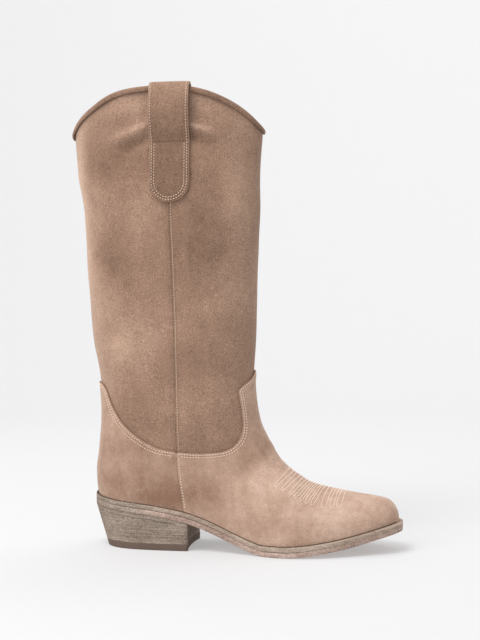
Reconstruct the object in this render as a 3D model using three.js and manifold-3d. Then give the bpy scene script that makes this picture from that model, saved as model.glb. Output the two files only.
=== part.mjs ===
// A knee-high western boot for the right foot, in millimetres.
// The toe points to +X, the outer (lateral) side of the foot is -Y, and the boot stands on z = 0.
//
// The upper is a set of leather layers over one smooth form, the foot and leg that the boot is made round.
// Every layer lies between two offsets of that form. Its outline is drawn in the side view and cut straight
// across.
// Under the form lie the insole, the lasting margins, the welt, the outsole and a stacked heel.
import * as THREE from "three";
import { mergeVertices } from "three/addons/utils/BufferGeometryUtils.js";
import Module from "manifold-3d";

const wasm = await Module();
wasm.setup();

// ---------------------------------------------------------------- sizes
const formLength = 266; // heel to toe tip of the form
const legTop = 406.5; // top line at the side seams, above the floor
const ballWidth = 80; // form, across the joints of the toes
const calfWidth = 73; // form, across the leg
const gap = 0.3; // between pieces that lie on each other

const liningThickness = 0.9;
const panelThickness = 1.4; // shaft panels, stiffeners and interlining
const coverThickness = 1.4; // vamp and counter cover
const seamGap = 0.3; // between the edges of pieces that are joined edge to edge
const underlap = 12; // shaft panels run this far under the vamp and counter cover

const bindingThickness = 1;
const bindingDrop = 4.6; // how far the binding reaches down each face
const strapWidth = 35;
const strapDrop = 102; // from the top line down to the strap's rounded end
const strapInsideDrop = 74;
const strapPly = 1;
const strapStandOff = 6.6; // finger room behind the loop
const strapGap = 0.9; // between the strap's sewn legs and the shaft
const loopClearance = 1.2; // between the loop and the binding that it passes over
const shoulderSpare = 0.4; // more room where the loop turns down
const shoulderDrop = 1.7; // and how far below its top it turns
const loopRoot = 48; // below the top line, where the free loop ends at the cross stitch

const insoleThickness = 2.5;
const sockThickness = 1.8;
const lastingMargin = 13; // width of upper turned in under the insole
const weltThickness = 4;
const outsoleThickness = 4.5;
const weltReach = 3.4; // welt beyond the upper at the forepart
const toeReach = 5.2; // at the tip of the toe
const seatReach = 0.8; // at the waist and heel
const shankLength = 106;
const shankWidth = 15;
const shankThickness = 1.4;
const shankCover = 0.6; // cork between the shank and the insole

const heelBreast = -38; // front of the heel
const heelBottomLength = 0.872; // heel's foot against its seat, front to back
const heelBottomWidth = 0.9; // and side to side
const breastHollow = 3; // the breast is cut this much hollow
const topLiftThickness = 6;
const seatLiftThickness = 3.6; // the lift that follows the slope of the seat
const wedgeEdge = 1.2; // front edge of the wedge under it
const liftCount = 3; // level lifts below the wedge

const nailRadius = 1.2;
const nailHead = [2.6, 1]; // radius and thickness
const nailTip = 13.5; // height of the points above the floor
const screwRadius = 2.4;
const screwHead = [4.4, 1.5];
const screwTip = 11;
const pinRadius = 1;
const pinHead = [1.9, 1];
const pinClear = 5; // a pin's hole runs out through the underside, so below the head it is this many gaps deeper
const pinLength = 15;
const pinRecess = 0.5;

// ---------------------------------------------------------------- grading
const panelInner = liningThickness + gap;
const shaftOuter = panelInner + panelThickness;
const coverInner = shaftOuter + gap;
const upperOuter = coverInner + coverThickness;
const soleTop = upperOuter + gap; // the outsole's upper face, below the feather line
const soleBottom = soleTop + outsoleThickness;

// The outlines below are drawn for the sample size. grade() moves a drawn side-view point to the sizes set
// above, and keeps the tread on the floor.
const drawn = { formLength: 266, legTop: 406.5, ballWidth: 80, calfWidth: 73, ankle: 150, tread: 9.1 };
const lift = soleBottom - drawn.tread;
const lengthScale = formLength / drawn.formLength;
const legScale = (legTop - lift - drawn.ankle) / (drawn.legTop - drawn.ankle);
const gradeX = (x) => x * lengthScale;
const gradeZ = (z) => lift + (z < drawn.ankle ? z : drawn.ankle + (z - drawn.ankle) * legScale);
const grade = ([x, z]) => [gradeX(x), gradeZ(z)];

const clamp = THREE.MathUtils.clamp;
const lerp = THREE.MathUtils.lerp;
const smooth = THREE.MathUtils.smoothstep;

// ---------------------------------------------------------------- the form
// Each section is a plane square to the side view, from a front point to a back point. The planes are level in
// the leg, turn through the ankle and heel, and stand upright in the forefoot. Below the feather line the
// sections only shape the walls, because the bottom is cut away.
// Each row: front x, z, back x, z, lateral and medial half widths, place of the widest point, front and back
// fullness, centre y.
const sections = [
  [22.4, 430, -147.0, 430, 34.0, 34.0, 0.5, 2.4, 2.5, 0],
  [21.4, 370, -145.5, 370, 34.5, 34.5, 0.5, 2.4, 2.5, 0],
  [19.0, 337, -143.2, 337, 35.5, 35.5, 0.5, 2.4, 2.5, 0],
  [19.2, 300, -137.3, 300, 36.5, 36.5, 0.5, 2.4, 2.5, 0],
  [17.0, 242, -133.8, 242, 36.5, 36.5, 0.5, 2.4, 2.6, 0],
  [16.0, 190, -129.4, 190, 35.0, 35.0, 0.5, 2.4, 2.8, 0],
  [13.6, 152, -121.8, 152, 33.5, 33.5, 0.5, 2.3, 3.2, 0],
  [15.2, 128, -119.2, 118, 32.5, 32.5, 0.49, 2.2, 3.6, 0],
  [19.0, 110, -121.4, 88, 30.8, 30.8, 0.48, 2.1, 4.0, 0],
  [24.6, 98, -124.8, 66, 29.5, 29.5, 0.48, 2.1, 4.4, 0],
  [31.4, 85, -121.4, 40, 28.6, 28.4, 0.5, 2.1, 4.5, 0],
  [36.6, 77, -108.0, 18, 28.2, 27.8, 0.55, 2.0, 3.2, 0],
  [42.0, 71.6, -75.0, 5, 28.6, 27.4, 0.62, 2.0, 2.1, 0],
  [48.0, 66.4, -35.0, -2, 31.0, 28.8, 0.6, 2.0, 1.9, 0.2],
  [55.6, 61.0, 5.0, -9, 36.0, 34.5, 0.54, 1.9, 2.0, 0.8],
  [66.0, 54.6, 42.0, -12, 40.3, 39.5, 0.42, 1.8, 2.2, 2.0],
  [82.0, 50.1, 75.0, -8, 37.2, 36.6, 0.4, 1.8, 2.3, 3.6],
  [103.0, 46.2, 102.0, -1, 28.6, 28.0, 0.42, 1.8, 2.4, 5.4],
  [119.0, 44.0, 119.0, 7, 21.6, 21.2, 0.44, 1.9, 2.4, 6.4],
  [129.0, 42.3, 129.0, 12, 16.2, 15.8, 0.46, 2.0, 2.3, 6.9],
  [134.6, 40.4, 134.6, 15, 12.2, 12.0, 0.48, 2.0, 2.2, 7.2],
  [138.4, 36.4, 138.4, 19, 8.2, 8.0, 0.5, 2.0, 2.0, 7.4],
  [140.6, 31.0, 140.6, 23.4, 4.0, 3.9, 0.5, 2.0, 2.0, 7.5],
  [141.2, 27.2, 141.2, 27.2, 0, 0, 0.5, 2.0, 2.0, 7.5],
];
const lastSection = sections.length - 1;
const footFrom = 10; // from this section on, widths follow the ball; above it they pass over to the calf
const calfTo = 5;

// A smooth curve through evenly numbered values.
function through(values, place) {
  const last = values.length - 1;
  const i = clamp(Math.floor(place), 0, last - 1);
  const f = place - i;
  const [a, b, c, d] = [i - 1, i, i + 1, i + 2].map((k) => values[clamp(k, 0, last)]);
  return b + 0.5 * f * (c - a + f * (2 * a - 5 * b + 4 * c - d + f * (3 * (b - c) + d - a)));
}

const columns = sections[0].map((_, k) => sections.map((row) => row[k]));

function sectionAt(v) {
  const [fx, fz, bx, bz, lateral, medial, widest, fore, aft, centre] = columns.map((c) => through(c, v));
  const footShare = smooth(v, calfTo, footFrom);
  const widthScale = lerp(calfWidth / drawn.calfWidth, ballWidth / drawn.ballWidth, footShare);
  return {
    front: grade([fx, fz]),
    back: grade([bx, bz]),
    halfWidth: (side) => Math.max(0, side < 0 ? lateral : medial) * widthScale,
    widest,
    fore,
    aft,
    centre: centre * widthScale,
  };
}

// u runs from 1 at the front of a section to -1 at its back; this is the share of the half width there.
const fullness = ({ fore, aft }, u) => Math.sqrt(Math.max(0, 1 - Math.abs(u) ** (u > 0 ? fore : aft)));

// A point of the form. v numbers the sections, and turn goes round from 0 at the front, by the lateral side, to
// the back.
function formPoint(v, turn) {
  const section = sectionAt(v);
  const u = Math.cos(turn);
  const side = Math.sin(turn) >= 0 ? -1 : 1;
  const t = section.widest + (u > 0 ? 1 - section.widest : section.widest) * u;
  return new THREE.Vector3(
    lerp(section.back[0], section.front[0], t),
    section.centre + side * section.halfWidth(side) * fullness(section, u),
    lerp(section.back[1], section.front[1], t),
  );
}

function formNormal(v, turn) {
  const step = 0.02;
  if (v > lastSection - step) return new THREE.Vector3(1, 0, 0);
  const behind = formPoint(Math.max(v - step, 0), turn);
  const along = formPoint(Math.min(v + step, lastSection), turn).sub(behind);
  const round = formPoint(v, turn + step).sub(formPoint(v, turn - step));
  return round.cross(along).normalize();
}

// Half width of the form at a side-view point, on the lateral (-1) or medial (1) side, or -1 outside it.
function halfWidthAt(x, z, side) {
  let [low, high] = [0, lastSection - 0.001];
  for (let i = 0; i < 40; i++) {
    const v = (low + high) / 2;
    const { front, back } = sectionAt(v);
    const across = (front[0] - back[0]) * (z - back[1]) - (front[1] - back[1]) * (x - back[0]);
    if (across < 0) low = v;
    else high = v;
  }
  const section = sectionAt(low);
  const { front, back, widest } = section;
  const chord = [front[0] - back[0], front[1] - back[1]];
  const t = ((x - back[0]) * chord[0] + (z - back[1]) * chord[1]) / (chord[0] ** 2 + chord[1] ** 2);
  if (t < 0 || t > 1) return -1;
  const u = (t - widest) / (t > widest ? 1 - widest : widest);
  return section.halfWidth(side) * fullness(section, u) + side * section.centre;
}

// ---------------------------------------------------------------- solids
function solid(geometry) {
  const plain = new THREE.BufferGeometry().setAttribute("position", geometry.getAttribute("position"));
  if (geometry.index) plain.setIndex(geometry.index);
  const merged = mergeVertices(plain, 1e-4);
  return new wasm.Manifold(
    new wasm.Mesh({
      numProp: 3,
      vertProperties: new Float32Array(merged.attributes.position.array),
      triVerts: new Uint32Array(merged.index.array),
    }),
  );
}

// A closed solid from rings of points. Each end closes on the middle of its ring.
function ringSolid(rings) {
  const count = rings[0].length;
  const points = rings.flat();
  const middle = (ring) => ring.reduce((sum, p) => sum.add(p), new THREE.Vector3()).divideScalar(count);
  const first = points.length;
  points.push(middle(rings[0]), middle(rings.at(-1)));
  const faces = [];
  for (let j = 0; j < count; j++) {
    const next = (j + 1) % count;
    faces.push(first, next, j);
    for (let i = 0; i + 1 < rings.length; i++) {
      const [a, b] = [i * count + j, i * count + next];
      const [c, d] = [a + count, b + count];
      faces.push(a, b, c, b, d, c);
    }
    const end = (rings.length - 1) * count;
    faces.push(end + j, end + next, first + 1);
  }
  const geometry = new THREE.BufferGeometry().setFromPoints(points).setIndex(faces);
  const made = solid(geometry);
  return made.volume() > 0 ? made : solid(geometry.setIndex(faces.reverse()));
}

function extruded(outline, depth) {
  const shape = new THREE.Shape(outline.map(([a, b]) => new THREE.Vector2(a, b)));
  return new THREE.ExtrudeGeometry(shape, { depth, bevelEnabled: false });
}

const reach = 260; // further than the boot goes in any direction but up
// A side-view outline cut straight across the boot, and a plan outline cut straight down through it.
const across = (outline, from = -reach, to = reach) =>
  solid(extruded(outline, to - from).rotateX(Math.PI / 2).translate(0, to, 0));
const down = (outline, from = -reach, to = 2 * reach) =>
  solid(extruded(outline, to - from).translate(0, 0, from));

function spline(points, count) {
  const places = points.map(([x, z]) => new THREE.Vector3(x, z, 0));
  return new THREE.CatmullRomCurve3(places, false, "centripetal").getPoints(count).map((p) => [p.x, p.y]);
}

// Moves a side-view or plan line sideways, to the right of its run.
function shifted(line, distance, closed = false) {
  const last = line.length - 1;
  return line.map((p, i) => {
    const before = line[closed ? (i + last) % line.length : Math.max(i - 1, 0)];
    const after = line[closed ? (i + 1) % line.length : Math.min(i + 1, last)];
    const run = [after[0] - before[0], after[1] - before[1]];
    const length = Math.hypot(...run);
    return [p[0] + (distance * run[1]) / length, p[1] - (distance * run[0]) / length];
  });
}

// ---------------------------------------------------------------- layers of the upper
const roundSteps = 16;
const stations = [];
for (let v = 0; v <= lastSection; v++) stations.push(v);

const made = new Map();
function tube(offset) {
  if (!made.has(offset)) {
    const rings = stations.map((v) =>
      Array.from({ length: roundSteps }, (_, j) => {
        const turn = (j / roundSteps) * 2 * Math.PI;
        return formPoint(v, turn).addScaledVector(formNormal(v, turn), offset);
      }),
    );
    made.set(offset, ringSolid(rings));
  }
  return made.get(offset);
}

// The feather line: the underside of the insole, from the heel to the toe. The tread under the ball is level.
const featherLine = [
  ...spline([[-170, 62], [-127, 48], [-118, 45.6], [-106, 43.8], [-92, 42.2], [-78, 40.8], [-60, 38.4],
    [-38, 33.9], [-18, 27], [2, 18.6], [16, 13], [25, 10], [30, drawn.tread]].map(grade), 16),
  ...[[35, drawn.tread], [42, drawn.tread]].map(grade),
  ...spline([[48, drawn.tread], [56, 9.7], [72, 11.6], [98, 15.9], [118, 20.6], [137, 25.4],
  [150, 28.8], [190, 41]]
    .map(grade), 10),
];
const heightAt = (line, x) => {
  const i = clamp(line.findIndex((p) => p[0] > x), 1, line.length - 1);
  const [a, b] = [line[i - 1], line[i]];
  return lerp(a[1], b[1], (x - a[0]) / (b[0] - a[0]));
};
const below = (distance) => shifted(featherLine, distance);
const sky = 2 * reach;
// All that lies on one side of a side-view line, up or down to a level. The line runs on level at its ends.
const beside = (line, level) =>
  across([...line, [reach, line.at(-1)[1]], [reach, level], [-reach, level], [-reach, line[0][1]]]);
const above = (line) => beside(line, sky);
const lower = (line) => beside(line, -reach);
const band = (top, bottom) => across([...below(bottom), ...below(top).reverse()]);

const body = (offset) => tube(offset).intersect(above(below(offset)));
const layer = (inner, thickness) => body(inner + thickness).subtract(body(inner));

// Side-view lines of the pattern pieces, running from the back of the boot to the front or from the top down.
const topLine = spline(
  [[-162, 345], [-149, 366], [-139, 381.5], [-122, 393.2], [-101, 403], [-76, 406.4], [-53, 406.5],
   [-31, 404.4],
   [-9, 397.2], [11, 385], [24, 370], [38, 350]].map(grade),
  16,
);
const seamLine = spline(
  [[-54, 440], [-53, 304], [-51, 250], [-49.2, 190], [-48.2, 130], [-47.5, 90], [-45.6, 64],
   [-40.6, 32], [-34, 0],
   [-28, -25]].map(grade),
  10,
);
const seamX = gradeX(-52.5); // middle of the pull straps
const counterEdge = spline(
  [[-170, 148], [-126, 148], [-116.5, 147], [-111, 141.5], [-105, 128], [-95, 112.2], [-82, 100.8],
   [-64, 91.2], [-47.6, 88]].map(grade),
  12,
);
const vampEdge = [
  ...spline([[-47.6, 88], [-30, 86.6], [-14, 87], [-4.5, 88.8], [1.8, 93.2], [5.8, 99.5], [7.2, 107],
             [6.7, 117], [4.9, 130], [3, 141]].map(grade), 12),
  ...spline([[3, 141], [6.8, 145.6], [9.7, 148.5], [11.9, 151.4], [13.2, 155], [14.2, 160], [18, 172],
             [60, 200]].map(grade), 7).slice(1),
];
const overlayEdge = [...counterEdge, ...vampEdge.slice(1)];
const panelEdge = spline(
  [[-170, 130], [-126, 129], [-112, 118], [-98, 103], [-80, 90.5], [-62, 81], [-47, 88 - underlap],
   [-28, 74.5],
   [-10, 76], [8, 86], [20, 99], [60, 112]].map(grade),
  14,
);

const ahead = (line, distance = seamGap / 2) =>
  across([[reach, sky], ...shifted(line, -distance), [reach, -reach]].reverse());
const behind = (line, distance = seamGap / 2) =>
  across([[-reach, sky], ...shifted(line, distance), [-reach, -reach]]);

// ---------------------------------------------------------------- plan outlines
// The feather line in plan: heel to toe along the lateral side and back along the medial side.
const inside = (x) => halfWidthAt(x, heightAt(featherLine, x), -1) >= 0;
function edgeOf(from, to) {
  let [out, into] = [from, to];
  for (let i = 0; i < 30; i++) {
    const x = (out + into) / 2;
    if (inside(x)) into = x;
    else out = x;
  }
  return into;
}
const heelEnd = edgeOf(gradeX(-135), gradeX(-80));
const toeEnd = edgeOf(gradeX(150), gradeX(100));
const planSteps = 13;
const shortestStep = 0.2; // points of a plan outline closer than this are one point

function planOutline(from, to, inset = 0) {
  const xs = Array.from({ length: planSteps + 1 }, (_, i) => {
    return (from + to) / 2 - (Math.cos((i / planSteps) * Math.PI) * (to - from)) / 2;
  });
  const edge = (side) => xs.map((x) => [x, side * (halfWidthAt(x, heightAt(featherLine, x), side) - inset)]);
  return [...edge(-1), ...edge(1).reverse()].filter(
    (p, i, all) => i === 0 || Math.hypot(p[0] - all[i - 1][0], p[1] - all[i - 1][1]) > shortestStep,
  );
}

const featherPlan = planOutline(heelEnd, toeEnd);
const reachAt = (x) =>
  lerp(seatReach, weltReach, smooth(x, gradeX(-15), gradeX(40))) +
  (toeReach - weltReach) * smooth(x, gradeX(120), toeEnd);
const soleOutline = shifted(featherPlan, 1, true).map(([x, y], i) => {
  const [fx, fy] = featherPlan[i];
  const distance = upperOuter + reachAt(fx);
  return [fx + (x - fx) * distance, fy + (y - fy) * distance];
});
// The hole inside the lasting margins, which the filler and the shank fill.
const fillerGap = 0.8; // between the cork and the edges of the lasting margins
const toeMargin = 1.7 * lastingMargin; // the margins are pleated and deeper round the toe
const cavityOutline = planOutline(heelEnd + lastingMargin, toeEnd - toeMargin, lastingMargin);

// ---------------------------------------------------------------- fasteners
const roundSides = 8;
function upright(radius, from, to, x, y) {
  const rod = new THREE.CylinderGeometry(radius, radius, to - from, roundSides).rotateX(Math.PI / 2);
  return solid(rod.translate(x, y, (from + to) / 2));
}

// Driven down through the insole into the heel: the point is low and the head is up.
const headSunk = 0.4; // below the insole's upper face
const headSeat = insoleThickness - headSunk; // top of a head above the feather line
const driven = (name, x, y, radius, [headRadius, headThickness], tip) => {
  const top = heightAt(featherLine, x) + headSeat;
  return {
    name,
    grow: (extra) =>
      upright(radius + extra, tip - extra, top - headThickness / 2, x, y).add(
        upright(headRadius + extra, top - headThickness - extra, top + extra, x, y),
      ),
  };
};
const heelNails = [[-97, 7], [-97, -7], [-62, 10], [-62, -10]].map(([x, y], i) =>
  driven(`heel_nail_${i + 1}`, gradeX(x), y, nailRadius, nailHead, nailTip),
);
const heelScrew = driven("heel_screw", gradeX(-82), 0, screwRadius, screwHead, screwTip);
// Driven up through the top lift from below.
const liftPins = [[-104, 0], [-92, 16], [-92, -16], [-54, 18], [-54, -18]].map(([x, y], i) => ({
  name: `top_lift_pin_${i + 1}`,
  grow: (extra) =>
    upright(pinRadius + extra, pinRecess, pinLength + extra, gradeX(x), y).add(
      upright(pinHead[0] + extra, pinRecess - extra * pinClear, pinRecess + pinHead[1] + extra, gradeX(x), y),
    ),
}));
const fasteners = [heelScrew, ...heelNails, ...liftPins];
const drilled = (piece) =>
  fasteners.reduce((left, { grow }) => {
    const hole = grow(gap);
    return left.intersect(hole).volume() > 0 ? left.subtract(hole) : left;
  }, piece);

// ---------------------------------------------------------------- the scene graph
const boot = new THREE.Group();
const material = (color, roughness, metalness = 0) =>
  new THREE.MeshStandardMaterial({ color, roughness, metalness });
const suede = material(0xa58a76, 0.95);
const footSuede = material(0xbc9f8a, 0.92);
const liningLeather = material(0xc9b299, 0.75);
const stiffener = material(0xcfc8b8, 0.9);
const soleLeather = material(0xa89a8c, 0.8);
const heelLeather = material(0x9c8f80, 0.85);
const rubber = material(0x6f6259, 0.9);
const cork = material(0xa9825a, 0.95);
const steel = material(0x8d9094, 0.4, 1);

const crumb = 0.1; // mm3: a sliver this small is only what a cut leaves where two faces nearly meet

function add(name, cut, look) {
  const bodies = cut.decompose();
  const piece = bodies.length > 1 ? wasm.Manifold.union(bodies.filter((b) => b.volume() > crumb)) : cut;
  const { vertProperties, triVerts, numProp } = piece.getMesh();
  const positions = new Float32Array((vertProperties.length / numProp) * 3);
  for (let i = 0; i < positions.length / 3; i++) {
    positions.set(vertProperties.subarray(i * numProp, i * numProp + 3), i * 3);
  }
  const geometry = new THREE.BufferGeometry()
    .setAttribute("position", new THREE.BufferAttribute(positions, 3))
    .setIndex(new THREE.BufferAttribute(triVerts, 1));
  geometry.computeVertexNormals();
  const mesh = new THREE.Mesh(geometry, look);
  mesh.name = name;
  boot.add(mesh);
}

// ---------------------------------------------------------------- upper
const topCut = lower(topLine);
// The opening inside the margins goes only through the bottom, so it stops a little above the feather line.
const bottomHole = down(cavityOutline).intersect(lower(below(-2)));

const coverLayer = layer(coverInner, coverThickness).subtract(bottomHole);
const foot = coverLayer.intersect(lower(overlayEdge));
add("vamp", foot.intersect(ahead(seamLine)), footSuede);
add("counter_cover", foot.intersect(behind(seamLine)), footSuede);

const panelLayer = layer(panelInner, panelThickness).subtract(bottomHole);
const shaft = panelLayer.intersect(above(panelEdge)).intersect(topCut);
add("shaft_front_panel", shaft.intersect(ahead(seamLine)), suede);
add("shaft_back_panel", shaft.intersect(behind(seamLine)), suede);

// The front of the heel stiffener, and the back of the toe puff.
const stiffenerLine = [[-40, sky], [-72, 130], [-66, 84], [-52, 55], [-46, -reach]].map(grade);
const puffLine = [[96, sky], [96, 70], [88, 20], [88, -reach]].map(grade);
const footBacking = panelLayer.intersect(lower(shifted(panelEdge, seamGap)));
add("heel_stiffener", footBacking.intersect(behind(stiffenerLine)), stiffener);
add("toe_puff", footBacking.intersect(ahead(puffLine)), stiffener);
add("vamp_interlining", footBacking.intersect(ahead(stiffenerLine)).intersect(behind(puffLine)), stiffener);

const liningLayer = layer(0, liningThickness).subtract(bottomHole);
const shaftLining = liningLayer.intersect(above(panelEdge)).intersect(topCut);
const footLining = liningLayer.intersect(lower(shifted(panelEdge, seamGap)));
add("shaft_lining_front", shaftLining.intersect(ahead(seamLine)), liningLeather);
add("shaft_lining_back", shaftLining.intersect(behind(seamLine)), liningLeather);
add("vamp_lining", footLining.intersect(ahead(seamLine)), liningLeather);
add("heel_lining", footLining.intersect(behind(seamLine)), liningLeather);

// ---------------------------------------------------------------- binding over the top line
const raised = (line, rise) => line.map(([x, z]) => [x, z + rise]);
const stripAlongTop = (from, to) => across([...raised(topLine, from), ...raised(topLine, to).reverse()]);
const shell = (inner, outer) => tube(outer).subtract(tube(inner));
const bindingInside = -gap - bindingThickness;
const bindingOutside = shaftOuter + gap + bindingThickness;
const bindingTop = gap + bindingThickness;
const binding = shell(bindingInside, bindingOutside)
  .intersect(stripAlongTop(-bindingDrop, bindingTop))
  .subtract(shell(-gap, shaftOuter + gap).intersect(stripAlongTop(-reach / 4, gap)));
add("topline_binding", binding, suede);

// ---------------------------------------------------------------- pull straps
// The strap's inner face in section: distance out from the form, and height above the top line.
const legOut = shaftOuter + strapGap;
const middleOfEdge = (legOut - strapGap) / 2;
const loopRise = bindingTop + loopClearance;
const shoulder = (bindingOutside - bindingInside) / 2 + loopClearance + shoulderSpare;
const loop = spline(
  [[legOut, -strapDrop], [legOut, -loopRoot - 8], [legOut, -loopRoot],
   [legOut + strapStandOff * 0.5, -loopRoot + 11], [legOut + strapStandOff, -22],
   [legOut + strapStandOff * 0.7, -7], [middleOfEdge + shoulder, loopRise - shoulderDrop],
   [middleOfEdge, loopRise], [middleOfEdge - shoulder, loopRise - shoulderDrop],
   [-strapGap - strapStandOff * 0.7, -7],
   [-strapGap - strapStandOff, -22], [-strapGap - strapStandOff * 0.5, -loopRoot + 11], [-strapGap, -loopRoot],
   [-strapGap, -strapInsideDrop]],
  20,
);

const strapCut = 2; // the cut that rounds the end stays this far off the strap's sides
const endCut = 1; // and takes this much off its end
const endSteps = 12;

function strapPlyOn(side, inner) {
  const faces = [shifted(loop, inner), shifted(loop, inner + strapPly)];
  const stepsAcross = 2;
  const ring = (i) => {
    const edge = (face, k) => {
      const x = seamX + (k / stepsAcross - 0.5) * strapWidth;
      const [out, rise] = faces[face][i];
      const z = legTop + rise;
      return new THREE.Vector3(x, side * (halfWidthAt(x, z, side) + out), z);
    };
    const steps = Array.from({ length: stepsAcross + 1 }, (_, k) => k);
    return [...steps.map((k) => edge(0, k)), ...steps.reverse().map((k) => edge(1, k))];
  };
  const strip = ringSolid(loop.map((_, i) => ring(i)));
  const radius = strapWidth / 2;
  const outside = radius + strapCut;
  const end = legTop - strapDrop + radius + endCut;
  const outline = [[seamX + outside, sky], [seamX - outside, sky], [seamX - outside, end]];
  for (let i = 0; i <= endSteps; i++) {
    const angle = (i / endSteps - 1) * Math.PI;
    outline.push([seamX + radius * Math.cos(angle), end + radius * Math.sin(angle)]);
  }
  outline.push([seamX + outside, end]);
  return strip.intersect(across(outline));
}
for (const [side, label] of [[-1, "lateral"], [1, "medial"]]) {
  add(`pull_strap_backing_${label}`, strapPlyOn(side, 0), liningLeather);
  add(`pull_strap_${label}`, strapPlyOn(side, strapPly + gap), suede);
}

// ---------------------------------------------------------------- bottom
const insideForm = tube(-gap);
add("insole", drilled(insideForm.intersect(band(-gap - insoleThickness, -gap))), stiffener);
const sockBase = gap + insoleThickness + gap;
add("sock_liner", insideForm.intersect(band(-sockBase - sockThickness, -sockBase)), liningLeather);

const shankMiddle = gradeX(-39);
const shankTop = gap + shankCover;
const shankPlan = (grow) => {
  const [half, end] = [shankWidth / 2 + grow, shankLength / 2 + grow];
  const corners = [[-1, -0.6], [-0.8, -1], [0.8, -1], [1, -0.6], [1, 0.6], [0.8, 1], [-0.8, 1], [-1, 0.6]];
  return corners.map(([a, b]) => [shankMiddle + a * end, b * half]);
};
const shank = (grow) =>
  down(shankPlan(grow), -reach, reach).intersect(band(shankTop - grow, shankTop + shankThickness + grow));
add("steel_shank", drilled(shank(0)), steel);
const cavityBox = new THREE.Box2().setFromPoints(cavityOutline.map(([x, y]) => new THREE.Vector2(x, y)));
const cavityMiddle = cavityBox.getCenter(new THREE.Vector2());
const cavitySize = cavityBox.getSize(new THREE.Vector2());
const drawnIn = (value, middle, size) => middle + (value - middle) * (1 - (2 * fillerGap) / size);
const fillerOutline = cavityOutline.map(([x, y]) => [
  drawnIn(x, cavityMiddle.x, cavitySize.x),
  drawnIn(y, cavityMiddle.y, cavitySize.y),
]);
const filler = down(fillerOutline, -reach, reach).intersect(band(gap, upperOuter)).subtract(shank(gap));
add("cork_filler", drilled(filler), cork);

const soleBlank = down(soleOutline, -reach, reach);
add("welt", soleBlank.intersect(band(gap, soleTop - gap)).subtract(body(upperOuter + gap)), soleLeather);
add("outsole", drilled(soleBlank.intersect(band(soleTop, soleTop + outsoleThickness))), soleLeather);

// ---------------------------------------------------------------- stacked heel
const breastX = gradeX(heelBreast);
const breastCorner = 2; // the seat's own outline stops this far short of the breast
const nearBreast = 12; // the heel's half widths at the breast are the sole's greatest ones this near to it
const heelSeat = soleOutline.filter(([x]) => x < breastX - breastCorner);
const seatHalf = [-1, 1].map((side) => {
  const near = soleOutline.filter(([x, y]) => Math.abs(x - breastX) < nearBreast && y * side > 0);
  return Math.max(...near.map(([, y]) => y * side));
});
const breast = [[breastX, seatHalf[1]], [breastX - breastHollow, 0], [breastX, -seatHalf[0]]];
const ordered = [...heelSeat.filter(([, y]) => y > 0), ...heelSeat.filter(([, y]) => y <= 0)];
const heelPlan = [...ordered, ...breast.toReversed()];
const seatBottom = below(soleBottom);
const heelHeight = heightAt(seatBottom, heelEnd);
const heelRing = (z) => {
  const share = clamp(z / heelHeight, 0, 1);
  const lengthShare = lerp(heelBottomLength, 1, share);
  const widthShare = lerp(heelBottomWidth, 1, share);
  return heelPlan.map(([x, y]) => new THREE.Vector3(breastX + (x - breastX) * lengthShare, y * widthShare, z));
};
const liftBetween = (from, to) => ringSolid([heelRing(from), heelRing(to)]);
add("top_lift", drilled(liftBetween(0, topLiftThickness)), rubber);

const wedgeTop = soleBottom + gap + seatLiftThickness + gap; // below the feather line
const wedgeFrom = heightAt(below(wedgeTop), breastX) - wedgeEdge;
const liftThickness = (wedgeFrom - topLiftThickness) / liftCount;
for (let i = 0; i < liftCount; i++) {
  const from = topLiftThickness + i * liftThickness;
  add(`heel_lift_${i + 1}`, drilled(liftBetween(from, from + liftThickness)), heelLeather);
}
const overCut = 2; // the blank of the wedge and the seat lift stands this far above the seat
const heelTop = liftBetween(wedgeFrom, heelHeight + overCut);
add("heel_wedge", drilled(heelTop.intersect(lower(below(wedgeTop)))), heelLeather);
const seatBand = band(soleBottom + gap, soleBottom + gap + seatLiftThickness);
add("heel_seat_lift", drilled(heelTop.intersect(seatBand)), heelLeather);

for (const { name, grow } of fasteners) add(name, grow(0), steel);

// The origin lies on the floor, below the middle of the boot's box.
const middle = new THREE.Box3().setFromObject(boot).getCenter(new THREE.Vector3());
boot.position.set(-middle.x, -middle.y, 0);

export default boot;
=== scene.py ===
import math
import bmesh
import bpy
import numpy as np
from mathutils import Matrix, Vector
from mathutils.geometry import delaunay_2d_cdt


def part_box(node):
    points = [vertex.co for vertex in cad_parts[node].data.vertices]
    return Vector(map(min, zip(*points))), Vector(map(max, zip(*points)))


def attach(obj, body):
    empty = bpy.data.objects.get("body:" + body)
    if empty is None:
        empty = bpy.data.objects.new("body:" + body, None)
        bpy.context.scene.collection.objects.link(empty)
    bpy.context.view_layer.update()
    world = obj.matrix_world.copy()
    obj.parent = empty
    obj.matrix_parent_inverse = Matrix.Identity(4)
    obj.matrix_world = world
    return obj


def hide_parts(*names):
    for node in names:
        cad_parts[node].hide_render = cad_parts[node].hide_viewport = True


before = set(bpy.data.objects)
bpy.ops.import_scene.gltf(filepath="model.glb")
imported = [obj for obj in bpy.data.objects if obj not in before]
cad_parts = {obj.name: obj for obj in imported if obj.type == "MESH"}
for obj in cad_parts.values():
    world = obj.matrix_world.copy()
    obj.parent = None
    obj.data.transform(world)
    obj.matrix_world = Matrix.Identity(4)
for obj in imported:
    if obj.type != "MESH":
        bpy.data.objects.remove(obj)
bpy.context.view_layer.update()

# Drawn sizes are in millimetres, heel at -X, toe at +X, outer side of the foot at -Y, floor at z = 0.
mm = 0.001
pi = math.pi

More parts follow.
